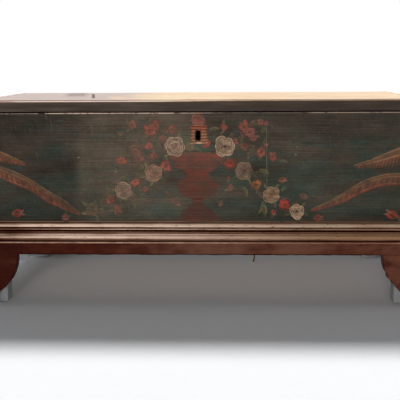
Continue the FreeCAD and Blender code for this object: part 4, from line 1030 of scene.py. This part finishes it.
# %% Feet
foot_low, foot_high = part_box("foot_front_right")
CORNER_X, CORNER_Y = foot_high.x, foot_low.y
FOOT_BOARD = (foot_high.y - foot_low.y) / mm
KNEE_CENTRE, KNEE_RADIUS, KNEE_TURN = np.array([-8.0, 144.0]), 122.0, math.radians(57)
ANKLE_RADIUS, FLARE_RADIUS = 24.0, 6.0
WIDEST = 114.0                       # the foot under the rail
CORNER_ARRIS, EDGE_ARRIS = 0.8, 1.6  # radii at the mitre and along the curve
KICKED = ((96, 7, 3.5), (77, 6, 5.0), (63, 8, 4.5), (52, 5, 3.0))      # height, half width, depth of each bite


def knee_curve():
    """(width, height) of the bracket from floor to top: a straight pad, the ankle's arc, the knee's arc and the
    small flare under the rail."""
    ankle_centre = KNEE_CENTRE + (KNEE_RADIUS + ANKLE_RADIUS) * way_at(-KNEE_TURN)
    ankle = arc(ankle_centre, ANKLE_RADIUS, math.pi, math.pi - KNEE_TURN, 12)
    pad = np.stack([np.full(8, ankle[0, 0]), np.linspace(0, ankle[0, 1], 8)], 1)
    pad[1, 1] = 0.6
    knee = arc(KNEE_CENTRE, KNEE_RADIUS, -KNEE_TURN, 0, 60)
    flare = arc(KNEE_CENTRE + (KNEE_RADIUS + FLARE_RADIUS, 0), FLARE_RADIUS, math.pi, math.pi / 2, 8)
    return np.concatenate([pad, ankle[1:], knee[1:], flare[1:]])


def foot(mitred, bites, seed):
    """Points as (distance from the corner, depth behind the face, height), rows by loop, and how far they stand
    out. The far edge follows the knee curve; points nearer the corner than the mitre keep their place."""
    curve = knee_curve()
    width, height = curve[:, 0], curve[:, 1]
    for middle, half, depth in bites:
        width = width - depth * np.exp(-((height - middle) / half) ** 4)
    inner = FOOT_BOARD if mitred else 0.0
    loop = rounded([(0, 0, CORNER_ARRIS), (WIDEST, 0, EDGE_ARRIS), (WIDEST, FOOT_BOARD, EDGE_ARRIS),
                    (inner, FOOT_BOARD, CORNER_ARRIS)], 3.0 * mm) / mm
    share = np.clip((loop[:, 0] - FOOT_BOARD) / (WIDEST - FOOT_BOARD), 0, None)
    across = loop[:, 0] + share * (width[:, None] - WIDEST)
    depth = np.broadcast_to(loop[:, 1], across.shape)
    points = np.stack([across, depth, np.broadcast_to(height[:, None], across.shape)], -1) * mm
    stands = standing_out(loop * mm)
    normal = outward(loop)
    rough = np.clip(0.5 + waves(points, 10 * mm, seed), 0, 1.5)
    sink = 0.25 * mm * (0.5 + 0.5 * waves(points, 50 * mm, seed + 1)) + 0.8 * mm * np.clip(stands, 0, 1) * rough
    points[..., :2] -= sink[..., None] * normal
    return points, np.broadcast_to(stands, across.shape)


def stand_foot(name, node, mitred, place, finish, seed, bites=()):
    """One foot, its points put in place by a function of distance, depth and height."""
    points, rub = foot(mitred, bites, seed)
    solid(name, np.stack(place(*np.moveaxis(points, -1, 0)), -1), rub, finish, "chest", "base_paint", node)


for number, (word, side) in enumerate((("left", -1), ("right", 1))):
    stand_foot(f"front_bracket_{word}", f"foot_front_{word}", True,
               lambda d, t, z: (side * (CORNER_X - d), CORNER_Y + t, z),
               base_long, 110 + number, KICKED if side > 0 else ())
    stand_foot(f"end_bracket_front_{word}", f"foot_end_front_{word}", True,
               lambda d, t, z: (side * (CORNER_X - t), CORNER_Y + d, z), base_deep, 120 + number)
    stand_foot(f"end_bracket_rear_{word}", f"foot_end_rear_{word}", False,
               lambda d, t, z: (side * (CORNER_X - t), BACK - d, z), base_deep, 130 + number)

# %% [markdown]
# ## Painting on the front
# The painter worked with a loaded round brush, one stroke to a petal or a leaf, light strokes over dark ones. The
# same is done here. A stroke is a thin closed solid between two edge lines drawn on the board: it stands a few
# hundredths of a millimetre proud, a little more with each layer, and it keeps its own tint as a colour on the
# mesh. The finish then lets the ground show through it wherever the brush lines are worn.

# %% Lines for a brush
def bow(start, end, rise=0.0, count=10):
    """A line from start to end that bows to its left: start + s (end - start) + 4 rise s (1 - s) times the left
    normal."""
    start, end = np.array(start, float), np.array(end, float)
    s = np.linspace(0, 1, count)[:, None]
    way = unit(end - start)
    return start + s * (end - start) + 4 * rise * s * (1 - s) * np.array([-way[1], way[0]])


def through(places, count):
    """A smooth line through a few places: each stretch is the cubic whose ends head along the neighbours' chord."""
    places = np.array(places, float)
    heading = np.gradient(places, axis=0)
    t = np.linspace(0, len(places) - 1, count)
    n = np.minimum(t.astype(int), len(places) - 2)
    s = (t - n)[:, None]
    first, last = places[n], places[n + 1]
    bend = s * (1 - s) ** 2 * heading[n] - s ** 2 * (1 - s) * heading[n + 1]
    return first + (3 * s ** 2 - 2 * s ** 3) * (last - first) + bend


def left_of(path):
    """The left-hand normal at each point of a line."""
    way = unit(np.gradient(path, axis=0))
    return np.stack([-way[:, 1], way[:, 0]], 1)


print("a line of 100 mm bowed by 10 mm passes its middle at", bow((0, 0), (100, 0), 10, 3)[1])

# %% [markdown]
# The brush gathers its strokes and dries them into one mesh. Strokes that follow each other stand a hair apart,
# so that no two lie level, and none may run over the rim, the ends or the keyhole.

# %% A brush
LAYER = 0.045 * mm
LAYERS_APART, LAYERS_CYCLE = 0.04, 13     # of a layer, between strokes that follow each other, over so many strokes
SUNK, BEHIND = 0.05 * mm, 0.1 * mm
ACROSS = np.array([0, 0, 0.2, 0.5, 0.8, 1, 1])
COVER_ACROSS = np.array([0, 0.1, 1, 1, 1, 0.1, 0])
CLEAR = 1.5                         # left free below the rim and round the keyhole


class Brush:
    """Strokes on the front board, gathered into one mesh. Places are (x, z) in millimetres."""

    def __init__(self, name, seed):
        self.name, self.draw = name, np.random.default_rng(seed)
        self.points, self.tints, self.faces, self.count = [], [], [], 0

    @staticmethod
    def runs_off(place):
        """Whether a stroke would pass over the rim, the ends or the keyhole."""
        low, high = place.min((0, 1)), place.max((0, 1))
        over_hole = np.all(high > np.array(KEYHOLE_LOW) - CLEAR) and np.all(low < np.array(KEYHOLE_HIGH) + CLEAR)
        return over_hole or high[1] > RIM / mm - CLEAR or max(high[0], -low[0]) > HALF / mm - CLEAR

    def patch(self, one, two, tint, other=None, cover=1.0, layer=1.0):
        """Paint between two lines of as many points each, its tint blending from the first line to the other."""
        one, two = np.asarray(one, float), np.asarray(two, float)
        rows, around = len(one), len(ACROSS)
        place = one[:, None] + ACROSS[:, None] * (two - one)[:, None]
        if self.runs_off(place):
            return
        proud = np.full((rows, around), (layer + LAYERS_APART * (len(self.points) % LAYERS_CYCLE)) * LAYER)
        proud[[0, -1]] = -SUNK
        proud[:, [1, -2]] = -SUNK
        proud[:, [0, -1]] = -BEHIND
        points = np.stack([place[..., 0] * mm, FACE - proud, place[..., 1] * mm], -1)
        first, last = linear(tint), linear(tint if other is None else other)
        colour = first + ACROSS[:, None] * (last - first)
        colour = np.concatenate([colour, cover * COVER_ACROSS[:, None]], 1)
        index = self.count + np.arange(rows * around).reshape(rows, around)
        beside = np.roll(index, -1, 1)
        quads = np.stack([index[:-1], beside[:-1], beside[1:], index[1:]], -1)
        self.points.append(points.reshape(-1, 3))
        self.tints.append(np.broadcast_to(colour, (rows, around, 4)).reshape(-1, 4))
        self.faces += quads.reshape(-1, 4).tolist() + [index[0].tolist(), index[-1][::-1].tolist()]
        self.count += rows * around

    def stroke(self, path, width, tint, fat=0.6, **look):
        """One pull of the brush: half its width is width / 2 times sin(pi s) ** fat, with a twentieth left at the
        ends."""
        path = np.asarray(path, float)
        s = np.linspace(0, 1, len(path))
        half = 0.5 * width * (0.05 + 0.95 * np.sin(np.pi * s) ** fat)[:, None] * left_of(path)
        self.patch(path + half, path - half, tint, **look)

    def dab(self, centre, wide, high, turn, tint, **look):
        """An oval dab of half sizes wide and high, turned by an angle."""
        way = way_at(turn)
        self.stroke(bow(centre - wide * way, centre + wide * way), 2 * high, tint, fat=0.5, **look)

    def shade(self, tint, spread=0.08):
        """The tint a little lighter or darker, as the brush takes it up unevenly."""
        return np.array(tint) * (1 + self.draw.uniform(-spread, spread))

    def dry(self):
        """Makes the mesh, with the tints as a colour on its points."""
        mesh = closed_mesh(self.name, np.concatenate(self.points), self.faces)
        tints = np.concatenate(self.tints).astype(np.float32)
        mesh.attributes.new("tint", "FLOAT_COLOR", "POINT").data.foreach_set("color", tints.ravel())
        fitted(mesh, flower_finish, "chest", "ground_paint")
        print(f"{self.name}: {len(self.points)} strokes, {len(mesh.polygons)} faces")


FLOWER_SHADE = rgb(60, 44, 34)


def flower_paint():
    """Each stroke's own tint over the ground, thinner where the brush lines and the rubbed patches are."""
    f = Finish("painted_flowers", Specular_IOR_Level=PAINT_SHEEN)
    ground, height = ground_layers(f, "X")
    tint, cover = (f.attribute("tint", part) for part in ("Color", "Alpha"))
    lines = streaks(f, "X", 3.0)
    fine = f.grain((30 * mm, 30 * mm, 1.6 * mm), 61.0, detail=2)
    cloud = f.grain(stretched(16 * mm, "X", 1.6), 51.0, detail=5, rough=0.65)
    kept = f.times(f.level(lines, 0.72, 0.42, 0.5, 1.0), f.level(fine, 0.72, 0.45, 0.6, 1.0),
                   f.level(cloud, 0.66, 0.42, 0.6, 1.0), cover)
    darker = f.mix(f.level(cloud, 0.35, 0.7, 0.0, 0.4), tint, FLOWER_SHADE)
    colour = keyhole_wear(f, f.mix(kept, ground, darker))
    return f.done(colour, height, 0.2 * mm, f.level(cloud, 0.3, 0.7, 0.5, 0.68))


flower_finish = flower_paint()

# %% [markdown]
# ## The plan of the painting
# The painter set out the large roses first, in two arms that fall from the urn's lip, and filled in with small
# blossoms and buds. The places are measured from the middle of the board and from the floor.

# %% Plan the flowers
ROSES = (
    # middle x, z, radius, petals, heart, how much of it is left
    (-64, 450, 30, (186, 150, 126), (124, 84, 74), 1.0),
    (73, 450, 30, (190, 156, 126), (56, 44, 38), 1.0),
    (-123, 375, 26, (176, 132, 106), (146, 86, 70), 0.95),
    (126, 382, 25, (142, 114, 92), (78, 36, 34), 0.95),
    (-207, 326, 25, (172, 138, 116), (148, 90, 76), 0.92),
    (201, 315, 24, (168, 132, 100), (166, 70, 50), 1.0),
    (273, 268, 22, (198, 162, 130), (58, 32, 24), 1.0),
    (-296, 273, 20, (134, 100, 76), (112, 62, 46), 0.75),
    (-228, 362, 16, (136, 112, 94), (112, 84, 72), 0.5),
    (-182, 306, 14, (140, 104, 90), (112, 80, 70), 0.45),
    (-24, 450, 14, (150, 124, 94), (120, 90, 70), 0.65),
    (0, 520, 20.5, (178, 104, 88), (164, 60, 46), 0.8),
)
BRICK, DULL_RED, BRIGHT_RED = (150, 74, 60), (132, 76, 64), (164, 52, 40)
BLOSSOMS = (
    (-132, 493, 14, BRICK), (-117, 506, 14, BRICK), (125, 501, 15, BRICK), (140, 488, 14, DULL_RED),
    (-180, 510, 11, DULL_RED), (-71, 497, 11, BRICK), (71, 503, 9, BRICK), (169, 517, 10, DULL_RED),
    (-135, 450, 11, BRICK), (-170, 435, 12, DULL_RED), (-163, 415, 14, DULL_RED), (-212, 410, 12, BRICK),
    (-121, 426, 10, BRICK), (-89, 398, 14, BRICK), (-175, 351, 12, BRICK), (-246, 302, 12, BRICK),
    (-226, 274, 12, DULL_RED), (127, 450, 11, BRICK), (151, 472, 9, DULL_RED), (172, 434, 13, BRICK),
    (204, 420, 11, BRICK), (89, 402, 14, BRIGHT_RED), (239, 287, 14, BRIGHT_RED), (20, 457, 13, (170, 64, 56)),
    (-148, 330, 8, DULL_RED), (-72, 302, 7, DULL_RED), (160, 344, 13, (150, 86, 46)), (-372, 250, 10, DULL_RED),
    (89, 336, 8, DULL_RED), (186, 512, 7, DULL_RED), (-96, 470, 9, DULL_RED), (102, 462, 8, DULL_RED),
)
BUDS = (
    # x, z, half length, which way its tip points in degrees, colour
    (232, 357, 14, 10, BRICK), (290, 311, 14, -30, DULL_RED), (331, 250, 16, 5, BRIGHT_RED),
    (208, 266, 11, -60, BRIGHT_RED), (533, 260, 22, 160, BRIGHT_RED), (-507, 263, 20, 12, BRIGHT_RED),
    (185, 450, 10, 70, BRICK), (62, 291, 11, 250, DULL_RED), (-59, 290, 11, -25, DULL_RED),
    (-86, 319, 10, 130, DULL_RED), (83, 360, 9, 270, DULL_RED), (560, 250, 14, 30, DULL_RED),
)
STEMS = (
    ((-30, 430), (-90, 425), (-125, 390), (-170, 350), (-210, 320), (-262, 290), (-300, 262)),
    ((30, 430), (88, 426), (128, 395), (165, 350), (203, 312), (240, 285), (280, 255)),
    ((-40, 440), (-90, 478), (-130, 498), (-185, 508)),
    ((40, 440), (95, 480), (130, 498), (178, 515)),
    ((-60, 440), (-120, 440), (-170, 425), (-215, 405)),
    ((60, 440), (125, 452), (170, 436), (208, 416)),
)
print(len(ROSES), "roses,", len(BLOSSOMS), "blossoms and", len(BUDS), "buds on", len(STEMS), "stems")

# %% [markdown]
# ## Leaves and stems
# Leaves are laid first, so that the flowers cover their stalks. A leaf is two strokes that meet in a bowed
# midrib, the upper one lighter. They are strewn along the stems and round each flower with a seeded draw, as a
# painter fills gaps. The same thin brush gives the few pale scratches and specks that later years have left.

# %% Leaves
LEAF_GREENS = ((62, 80, 58), (54, 76, 62), (92, 94, 62), (110, 102, 66), (66, 72, 50))
SHADE_GREENS = ((42, 62, 48), (44, 64, 58), (78, 78, 54), (84, 66, 54), (50, 52, 40), (102, 70, 58))
STEM_GREEN, LONG_LEAF_GREEN = (62, 60, 42), (100, 92, 58)
LEAVES_PER_STEM, STRAY = 40, 15      # and how far they stray from it
LONG_LEAVES = (
    # x, z, which way it points in degrees, length, width
    (122, 338, -70, 34, 13), (176, 292, -80, 40, 15), (165, 384, -20, 32, 14), (178, 300, -110, 44, 9),
    (-150, 400, 215, 26, 11), (30, 494, 5, 30, 12),
)
LONG_SCRATCH, LONG_SCRATCH_TINT = ((186, 503), (187, 440), (188, 385), (189, 343)), (136, 132, 112)
SCRATCHES = (
    (((-408, 530), (-401, 512), (-405, 490)), (130, 116, 92)),
    (((-394, 520), (-366, 521)), (96, 114, 108)),
    (((-372, 504), (-358, 500), (-346, 502)), (124, 116, 94)),
    (((-420, 542), (-412, 524)), (118, 108, 90)),
    (((-446, 440), (-444, 405)), (112, 104, 88)),
    (((-300, 520), (-290, 500), (-292, 482)), (112, 106, 88)),
)
SPECKS, SPECK_TINT = ((270, 448), (266, 427), (-445, 330), (-330, 420)), (168, 160, 136)


def leaf(brush, base, turn, length, width, green, cover):
    """Two half leaves between a bowed midrib and its edges, and a fine vein."""
    rib = bow(base, np.array(base) + length * way_at(turn), 0.1 * length, 12)
    s = np.linspace(0, 1, 12)
    half = 0.5 * width * (0.04 + np.sin(np.pi * s ** 0.8))[:, None] * left_of(rib)
    pale, deep = np.array(green) * 1.12, np.array(green) * 0.72
    brush.patch(rib + half, rib + 0.02 * half, pale, green, cover=cover, layer=1.2)
    brush.patch(rib - 0.02 * half, rib - half, deep, green, cover=cover, layer=1.2)
    brush.stroke(rib, 1.0, np.array(green) * 1.3, cover=0.6 * cover, layer=1.6)


def leaf_beside(brush, middle, reach, turn, lean, lengths, widths, cover):
    """A leaf that starts at a reach from a flower's middle, and leans off its own way."""
    base = np.array(middle) + reach * way_at(turn)
    green = brush.shade(LEAF_GREENS[brush.draw.integers(len(LEAF_GREENS))])
    leaf(brush, base, turn + brush.draw.uniform(-lean, lean), brush.draw.uniform(*lengths),
         brush.draw.uniform(*widths), green, cover)


leaves = Brush("painted_leaves", 5)
pick = leaves.draw
for places in STEMS:
    along = through(places, 40)
    for number in range(LEAVES_PER_STEM):
        spot = along[pick.integers(len(along))] + pick.normal(0, STRAY, 2)
        tint = SHADE_GREENS[pick.integers(len(SHADE_GREENS))]
        leaf(leaves, spot, pick.uniform(0, 2 * math.pi), pick.uniform(16, 30), pick.uniform(8, 13),
             leaves.shade(tint) * 1.06, 0.62)
for places in STEMS:
    leaves.stroke(through(places, 40), 2.4, STEM_GREEN, fat=0.2, cover=0.5, layer=0.8)
for x, z, radius, *_, left in ROSES:
    first = pick.uniform(0, 2 * math.pi)
    for number in range(5):
        turn = first + number * 2.5 + pick.uniform(-0.3, 0.3)
        leaf_beside(leaves, (x, z), 0.8 * radius, turn, 0.6, (15, 26), (7, 11), 0.45 + 0.4 * left)
for x, z, radius, _ in BLOSSOMS:
    for number in range(2):
        leaf_beside(leaves, (x, z), 0.7 * radius, pick.uniform(0, 2 * math.pi), 0.8, (12, 20), (5, 9), 0.65)
for x, z, degrees, length, width in LONG_LEAVES:
    leaf(leaves, (x, z), math.radians(degrees), length, width, LONG_LEAF_GREEN, 0.8)
leaves.stroke(through(LONG_SCRATCH, 30), 2.2, LONG_SCRATCH_TINT, fat=0.2, cover=0.55, layer=1.5)
for places, tint in SCRATCHES:
    leaves.stroke(through(places, 12), 2.0, tint, fat=0.5, cover=0.4, layer=1.5)
for spot in SPECKS:
    leaves.dab(np.array(spot, float), 3.0, 1.6, 0.3, SPECK_TINT, cover=0.7, layer=1.5)
leaves.dry()

# %% [markdown]
# ## Roses
# A folk rose is rings of cupped petals round a dark heart, each petal edged by one light stroke. The edge of a
# petal is an arc about its own middle, which lies half way out, so that neighbours meet in notches. The rings
# inside are smaller and turned by half a petal, and every petal leans a little, as no two pulls are alike.

# %% Roses
RINGS = (
    # outer and inner edge as shares of the radius, petals, how dark its body is, width of the light edge
    (1.0, 0.42, 6, 0.8, 0.08),
    (0.82, 0.32, 6, 0.78, 0.06),
    (0.62, 0.18, 5, 0.8, 0.065),
    (0.42, 0.08, 4, 0.76, 0.055),
    (0.26, 0.03, 3, 0.72, 0.05),
)
ROSE_LINE, ROSE_SHADE = (98, 54, 44), (44, 38, 30)


def petal(brush, middle, radius, ring, turn, tint, left, layer):
    """One petal of a ring: its body, darker inwards, and the light stroke along its edge."""
    outer, inner, count, dark, edge = ring
    half = math.pi / count * 1.2
    own = middle + 0.46 * radius * outer * way_at(turn)
    reach = radius * outer * 0.56 * brush.draw.uniform(0.8, 1.1)
    facing = turn + brush.draw.uniform(-0.3, 0.3)
    rim = arc(own, reach, facing - 1.6, facing + 1.6, 13)
    root = arc(middle, radius * inner, turn - half, turn + half, 13)
    body = brush.shade(np.array(tint) * dark, 0.14)
    brush.patch(rim, root, body * 1.06, body * 0.84, cover=left, layer=layer)
    inside = arc(own, reach - 0.05 * radius, facing - 1.4, facing + 1.3, 13)
    brush.stroke(inside, edge * radius, brush.shade(tint) * 1.1, fat=0.35, cover=0.75 * left ** 2, layer=layer + 0.6)
    line = arc(own, reach * 0.7, facing - 1.1, facing + 1.0, 9)
    brush.stroke(line, 0.06 * radius, ROSE_LINE, fat=0.5, cover=0.45 * left, layer=layer + 0.9)


def rose(brush, x, z, radius, tint, heart, left):
    """A dark ground for the rose, its rings of petals from the outermost in, and its heart."""
    middle = np.array([x, z], float)
    brush.dab(middle, 1.12 * radius, 1.1 * radius, 0.0, ROSE_SHADE, cover=0.5 * left, layer=1.8)
    start = brush.draw.uniform(0, 2 * math.pi)
    for level, ring in enumerate(RINGS):
        count = ring[2]
        for number in range(count):
            turn = start + 2 * math.pi * (number + 0.5 * level + brush.draw.uniform(-0.16, 0.16)) / count
            petal(brush, middle, radius, ring, turn, tint, left, 2.2 + 1.3 * level + 0.2 * number)
    heart_at = middle + brush.draw.uniform(-0.06, 0.06, 2) * radius
    brush.dab(heart_at, 0.19 * radius, 0.16 * radius, 0.4, heart, cover=left, layer=8.6)


roses = Brush("painted_roses", 8)
for spec in ROSES:
    rose(roses, *spec)
roses.dry()

# %% [markdown]
# ## Small blossoms and buds
# The small flowers are five dabs of red round a darker heart, touched with a few lighter flecks. A bud is one
# pointed stroke of red with two pale strokes at its tip and a green cup behind.

# %% Blossoms
FLECK_LIGHT, BUD_TIP, BUD_CUP = (56, 46, 38), (150, 122, 100), (60, 70, 50)


def blossom(brush, x, z, radius, red):
    """A handful of loose dabs, no two alike, a darker heart and light flecks on the upper side."""
    middle, radius = np.array([x, z], float), 1.17 * radius
    start = brush.draw.uniform(0, 2 * math.pi)
    brush.dab(middle, 1.25 * radius, 1.2 * radius, start, np.array(red) * 0.75, cover=0.4, layer=1.7)
    for number in range(7):
        turn = start + number * 2.4
        way = way_at(turn) * brush.draw.uniform(0.1, 0.55)
        wide, high = radius * brush.draw.uniform((0.5, 0.35), (0.85, 0.6))
        brush.dab(middle + radius * way, wide, high, brush.draw.uniform(0, math.pi), brush.shade(red, 0.16),
                  cover=0.74, layer=2.4 + 0.5 * (number % 3))
    brush.dab(middle, 0.3 * radius, 0.22 * radius, 0.3, np.array(red) * 0.75, cover=0.4, layer=4.2)
    for turn in start + np.array([0.3, 1.6, 2.9]):
        fleck = arc(middle, 0.62 * radius, turn, turn + 0.75, 6)
        brush.stroke(fleck, 0.16 * radius, np.array(red) * 0.7 + FLECK_LIGHT, cover=0.5, layer=4.4)


def bud(brush, x, z, size, degrees, red):
    """A pointed stroke of red with a darker one in it, and on each side a pale tip and a green cup."""
    middle, way = np.array([x, z], float), way_at(math.radians(degrees))
    side = np.array([-way[1], way[0]])
    brush.stroke(bow(middle - 0.9 * size * way, middle + 0.8 * size * way), 1.35 * size, red, cover=0.8, layer=2.4)
    brush.stroke(bow(middle - 0.6 * size * way, middle + 0.4 * size * way, 0.15 * size), 0.35 * size,
                 np.array(red) * 0.6, cover=0.8, layer=3.0)
    for lean in (-0.35, 0.35):
        tip = middle + size * (way + lean * side)
        brush.stroke(bow(middle + 0.1 * size * way, tip, -0.1 * size), 0.26 * size, BUD_TIP, cover=0.5, layer=3.4)
        cup = middle - size * (0.95 * way - 0.5 * lean * side)
        brush.stroke(bow(cup, middle + 0.9 * lean * size * side), 0.26 * size, BUD_CUP, cover=0.9, layer=3.6)


blossoms = Brush("painted_blossoms", 13)
for spec in BLOSSOMS:
    blossom(blossoms, *spec)
for spec in BUDS:
    bud(blossoms, *spec)
blossoms.dry()

# %% [markdown]
# ## The urn
# A footed urn stands on the moulding: a broad lip, a narrow neck, a round body, a thin stem and a spreading
# foot. It is laid in with flat strokes from side to side, each as long as the urn is wide at its height.

# %% Urn
URN_MIDDLE = -2.0
URN_HALF_WIDTHS = ((433, 70), (424, 77), (408, 76), (394, 66), (382, 42), (372, 31), (363, 38), (352, 56), (338, 64),
                   (324, 58), (312, 38), (302, 18), (293, 15), (282, 27), (268, 46), (252, 60), (240, 66))
URN_FOOT, URN_TOP = URN_HALF_WIDTHS[-1][0], URN_HALF_WIDTHS[0][0]
URN_LIP, URN_DEEP, URN_BAND = (128, 60, 46), (80, 31, 21), (140, 84, 66)
URN_PALES_FROM, URN_PALES_TO = 300, 420
URN_BANDS = ((431, 0.98), (390, 0.95), (310, 0.9), (297, 0.9), (243, 0.95))      # height, share of the width there


def urn_half(z):
    """Half width at heights z, smooth between the stations."""
    heights, halves = np.array(URN_HALF_WIDTHS[::-1], float).T
    near = np.clip(np.searchsorted(heights, z) - 1, 0, len(heights) - 2)
    s = np.clip((z - heights[near]) / (heights[near + 1] - heights[near]), 0, 1)
    return halves[near] + (3 * s ** 2 - 2 * s ** 3) * (halves[near + 1] - halves[near])


def urn(brush):
    """A dark ground in the urn's outline, flat strokes over it that pale towards the lip, and light bands."""
    z = np.linspace(URN_FOOT, URN_TOP, 60)
    half = urn_half(z)
    shaking = 1.2 * np.sin(0.9 * z)
    left = np.stack([URN_MIDDLE - half + shaking, z], 1)
    right = np.stack([URN_MIDDLE + half + shaking, z], 1)
    brush.patch(0.93 * left + 0.07 * right, 0.07 * left + 0.93 * right, URN_DEEP, cover=0.8, layer=0.8)
    for height in np.arange(URN_FOOT + 2, URN_TOP - 1, 3.0):
        share = np.clip((height - URN_PALES_FROM) / (URN_PALES_TO - URN_PALES_FROM), 0, 1)
        tint = brush.shade(np.array(URN_DEEP) + share * (np.array(URN_LIP) - URN_DEEP), 0.08)
        ends = URN_MIDDLE + urn_half(height) * brush.draw.uniform((-1.08, 0.88), (-0.88, 1.08))
        brush.stroke(bow((ends[0], height), (ends[1], height), brush.draw.uniform(-0.8, 0.8), 16), 5.6, tint,
                     fat=0.3, cover=0.8, layer=1.4)
    for height, share in URN_BANDS:
        reach = share * urn_half(height)
        brush.stroke(bow((URN_MIDDLE - reach, height), (URN_MIDDLE + reach, height), 1.0, 16), 2.4, URN_BAND,
                     fat=0.3, cover=0.5, layer=2.6)


vase = Brush("painted_urn", 21)
urn(vase)
vase.dry()

# %% [markdown]
# ## Two birds
# A long-tailed bird sits at each end and trails its tail down towards the flowers. The tail is a fan of long
# strokes between an upper and a lower edge, brown and tan above and red below, with short slanting barbs along
# the lower edge. The bodies lie close to the ends of the board.

# %% Birds
TAIL_LEFT_TOP = ((-592, 412), (-550, 396), (-510, 380), (-463, 356), (-419, 326), (-375, 300), (-326, 260))
TAIL_LEFT_LOW = ((-592, 372), (-550, 364), (-510, 347), (-463, 327), (-419, 297), (-375, 276), (-328, 256))
FEATHER_LEFT_TOP = ((-592, 456), (-549, 438), (-510, 420), (-476, 403))
FEATHER_LEFT_LOW = ((-592, 416), (-549, 408), (-510, 404), (-477, 400))
TAIL_RIGHT_TOP = ((592, 386), (550, 376), (507, 372), (451, 353), (399, 321), (352, 294), (308, 274))
TAIL_RIGHT_LOW = ((592, 352), (550, 346), (507, 344), (451, 325), (399, 298), (352, 282), (309, 270))
WING_RIGHT_TOP = ((592, 456), (547, 446), (505, 428), (468, 412), (422, 397))
WING_RIGHT_LOW = ((592, 402), (547, 396), (505, 392), (468, 391), (423, 394))
FEATHER_TINTS = ((142, 106, 74), (114, 82, 56), (146, 108, 80), (128, 76, 56), (122, 90, 64), (134, 78, 58),
                 (130, 60, 46))
TAIL_RED, TAIL_LIGHT = (126, 58, 46), (150, 120, 88)
BARB_PALE, BARB_DARK = (146, 86, 64), (98, 48, 38)
BREAST, WING, HEAD, BEAK, EYE = (112, 76, 56), (132, 92, 66), (124, 66, 50), (150, 124, 84), (34, 26, 20)
TWIG, TWIG_TINT = ((470, 386), (500, 388), (525, 396), (548, 410)), (30, 26, 20)


def plumage(brush, top, low, count=8, red=True):
    """Feathers side by side between two edges, each with a light line on it, and barbs along the lower edge."""
    top, low = through(top, 36), through(low, 36)
    for number in range(count):
        near, far = number / count, (number + 1.15) / count
        tint = brush.shade(FEATHER_TINTS[number % len(FEATHER_TINTS)], 0.12)
        one, two = top + near * (low - top), top + min(far, 1.0) * (low - top)
        brush.patch(one, two, tint * (0.95, 0.86, 0.8), tint * (0.68, 0.58, 0.54), cover=0.8,
                    layer=1.6 + 0.5 * (number % 2))
        quill = 0.5 * (one + two)[: 34 - 2 * (number % 3)]
        brush.stroke(quill, 1.3, tint * 1.2, fat=0.3, cover=0.45, layer=2.6)
    if red:
        brush.stroke(low - (0, 1.0), 7.5, TAIL_RED, fat=0.3, cover=0.65, layer=2.8)
    brush.stroke(top, 2.2, TAIL_LIGHT, fat=0.3, cover=0.5, layer=2.9)
    way = unit(top[-1] - top[0])
    for n in range(3, 33):
        root = low[n] + 0.55 * (top[n] - low[n])
        tip = low[n] + 7.0 * way - (0, 2.5)
        barb = brush.shade(BARB_PALE if n % 2 else BARB_DARK, 0.15)
        brush.stroke(bow(root, tip, 0.8 * np.sign(way[0])), 2.6, barb, cover=0.7, layer=3.1 + 0.3 * (n % 2))


def bird_body(brush, side):
    """A breast, a folded wing and a small head near the end of the board."""
    breast, head = np.array([side * 574.0, 412.0]), np.array([side * 577.0, 456.0])
    brush.dab(breast, 20, 34, 0.2 * side, BREAST, cover=0.85, layer=3.2)
    for n in range(5):
        start = breast + (side * 8, 24 - 9 * n)
        brush.stroke(bow(start, start - (side * 30, 10), 3 * side), 7.0, brush.shade(WING, 0.15), cover=0.8,
                     layer=3.6 + 0.3 * (n % 2))
    brush.dab(head, 10, 9, 0, HEAD, cover=0.9, layer=3.8)
    brush.stroke(bow(head + (side * 6, 2), head + (side * 18, -3)), 4.0, BEAK, cover=0.9, layer=4.2)
    brush.dab(head + (side * 2, 2), 1.6, 1.6, 0, EYE, cover=1.0, layer=4.6)


birds = Brush("painted_birds", 34)
plumage(birds, TAIL_LEFT_TOP, TAIL_LEFT_LOW)
plumage(birds, FEATHER_LEFT_TOP, FEATHER_LEFT_LOW, 4, red=False)
plumage(birds, TAIL_RIGHT_TOP, TAIL_RIGHT_LOW)
plumage(birds, WING_RIGHT_TOP, WING_RIGHT_LOW, 6, red=False)
birds.stroke(through(TWIG, 20), 2.2, TWIG_TINT, fat=0.3, layer=3.4)
for side in (-1, 1):
    bird_body(birds, side)
birds.dry()

# %% [markdown]
# ## Finishes for the solids that stay
# Everything else keeps the solid it came with: inside boards, glue blocks, lock, straps, handles and nails. An
# object made from a solid has its finish put into its material slots.

# %% Finish the rest
FINISHES = (
    ("front_board", front_finish),
    ("end_board", end_finish),
    ("back_board", back_finish),
    ("bottom_plank", pine_long),
    ("till_wall", pine_deep),
    ("till_floor", pine_deep),
    ("corner_block", pine_dusty_shade_grey),
    ("base_rail_back", pine_dusty_shade_grey),
    ("foot_back", pine_dusty_shade_grey),
    ("lid_cleat", base_deep),
    ("moulding_nails", moulding_long),
    ("stray_nail", plain_iron),
    ("handle_bail", handled_iron),
)
for name, node in nodes.items():
    finish = next((f for start, f in FINISHES if name.startswith(start)), plain_iron)
    node.data.materials.clear()
    node.data.materials.append(finish)
print("finished", len(nodes), "solids")
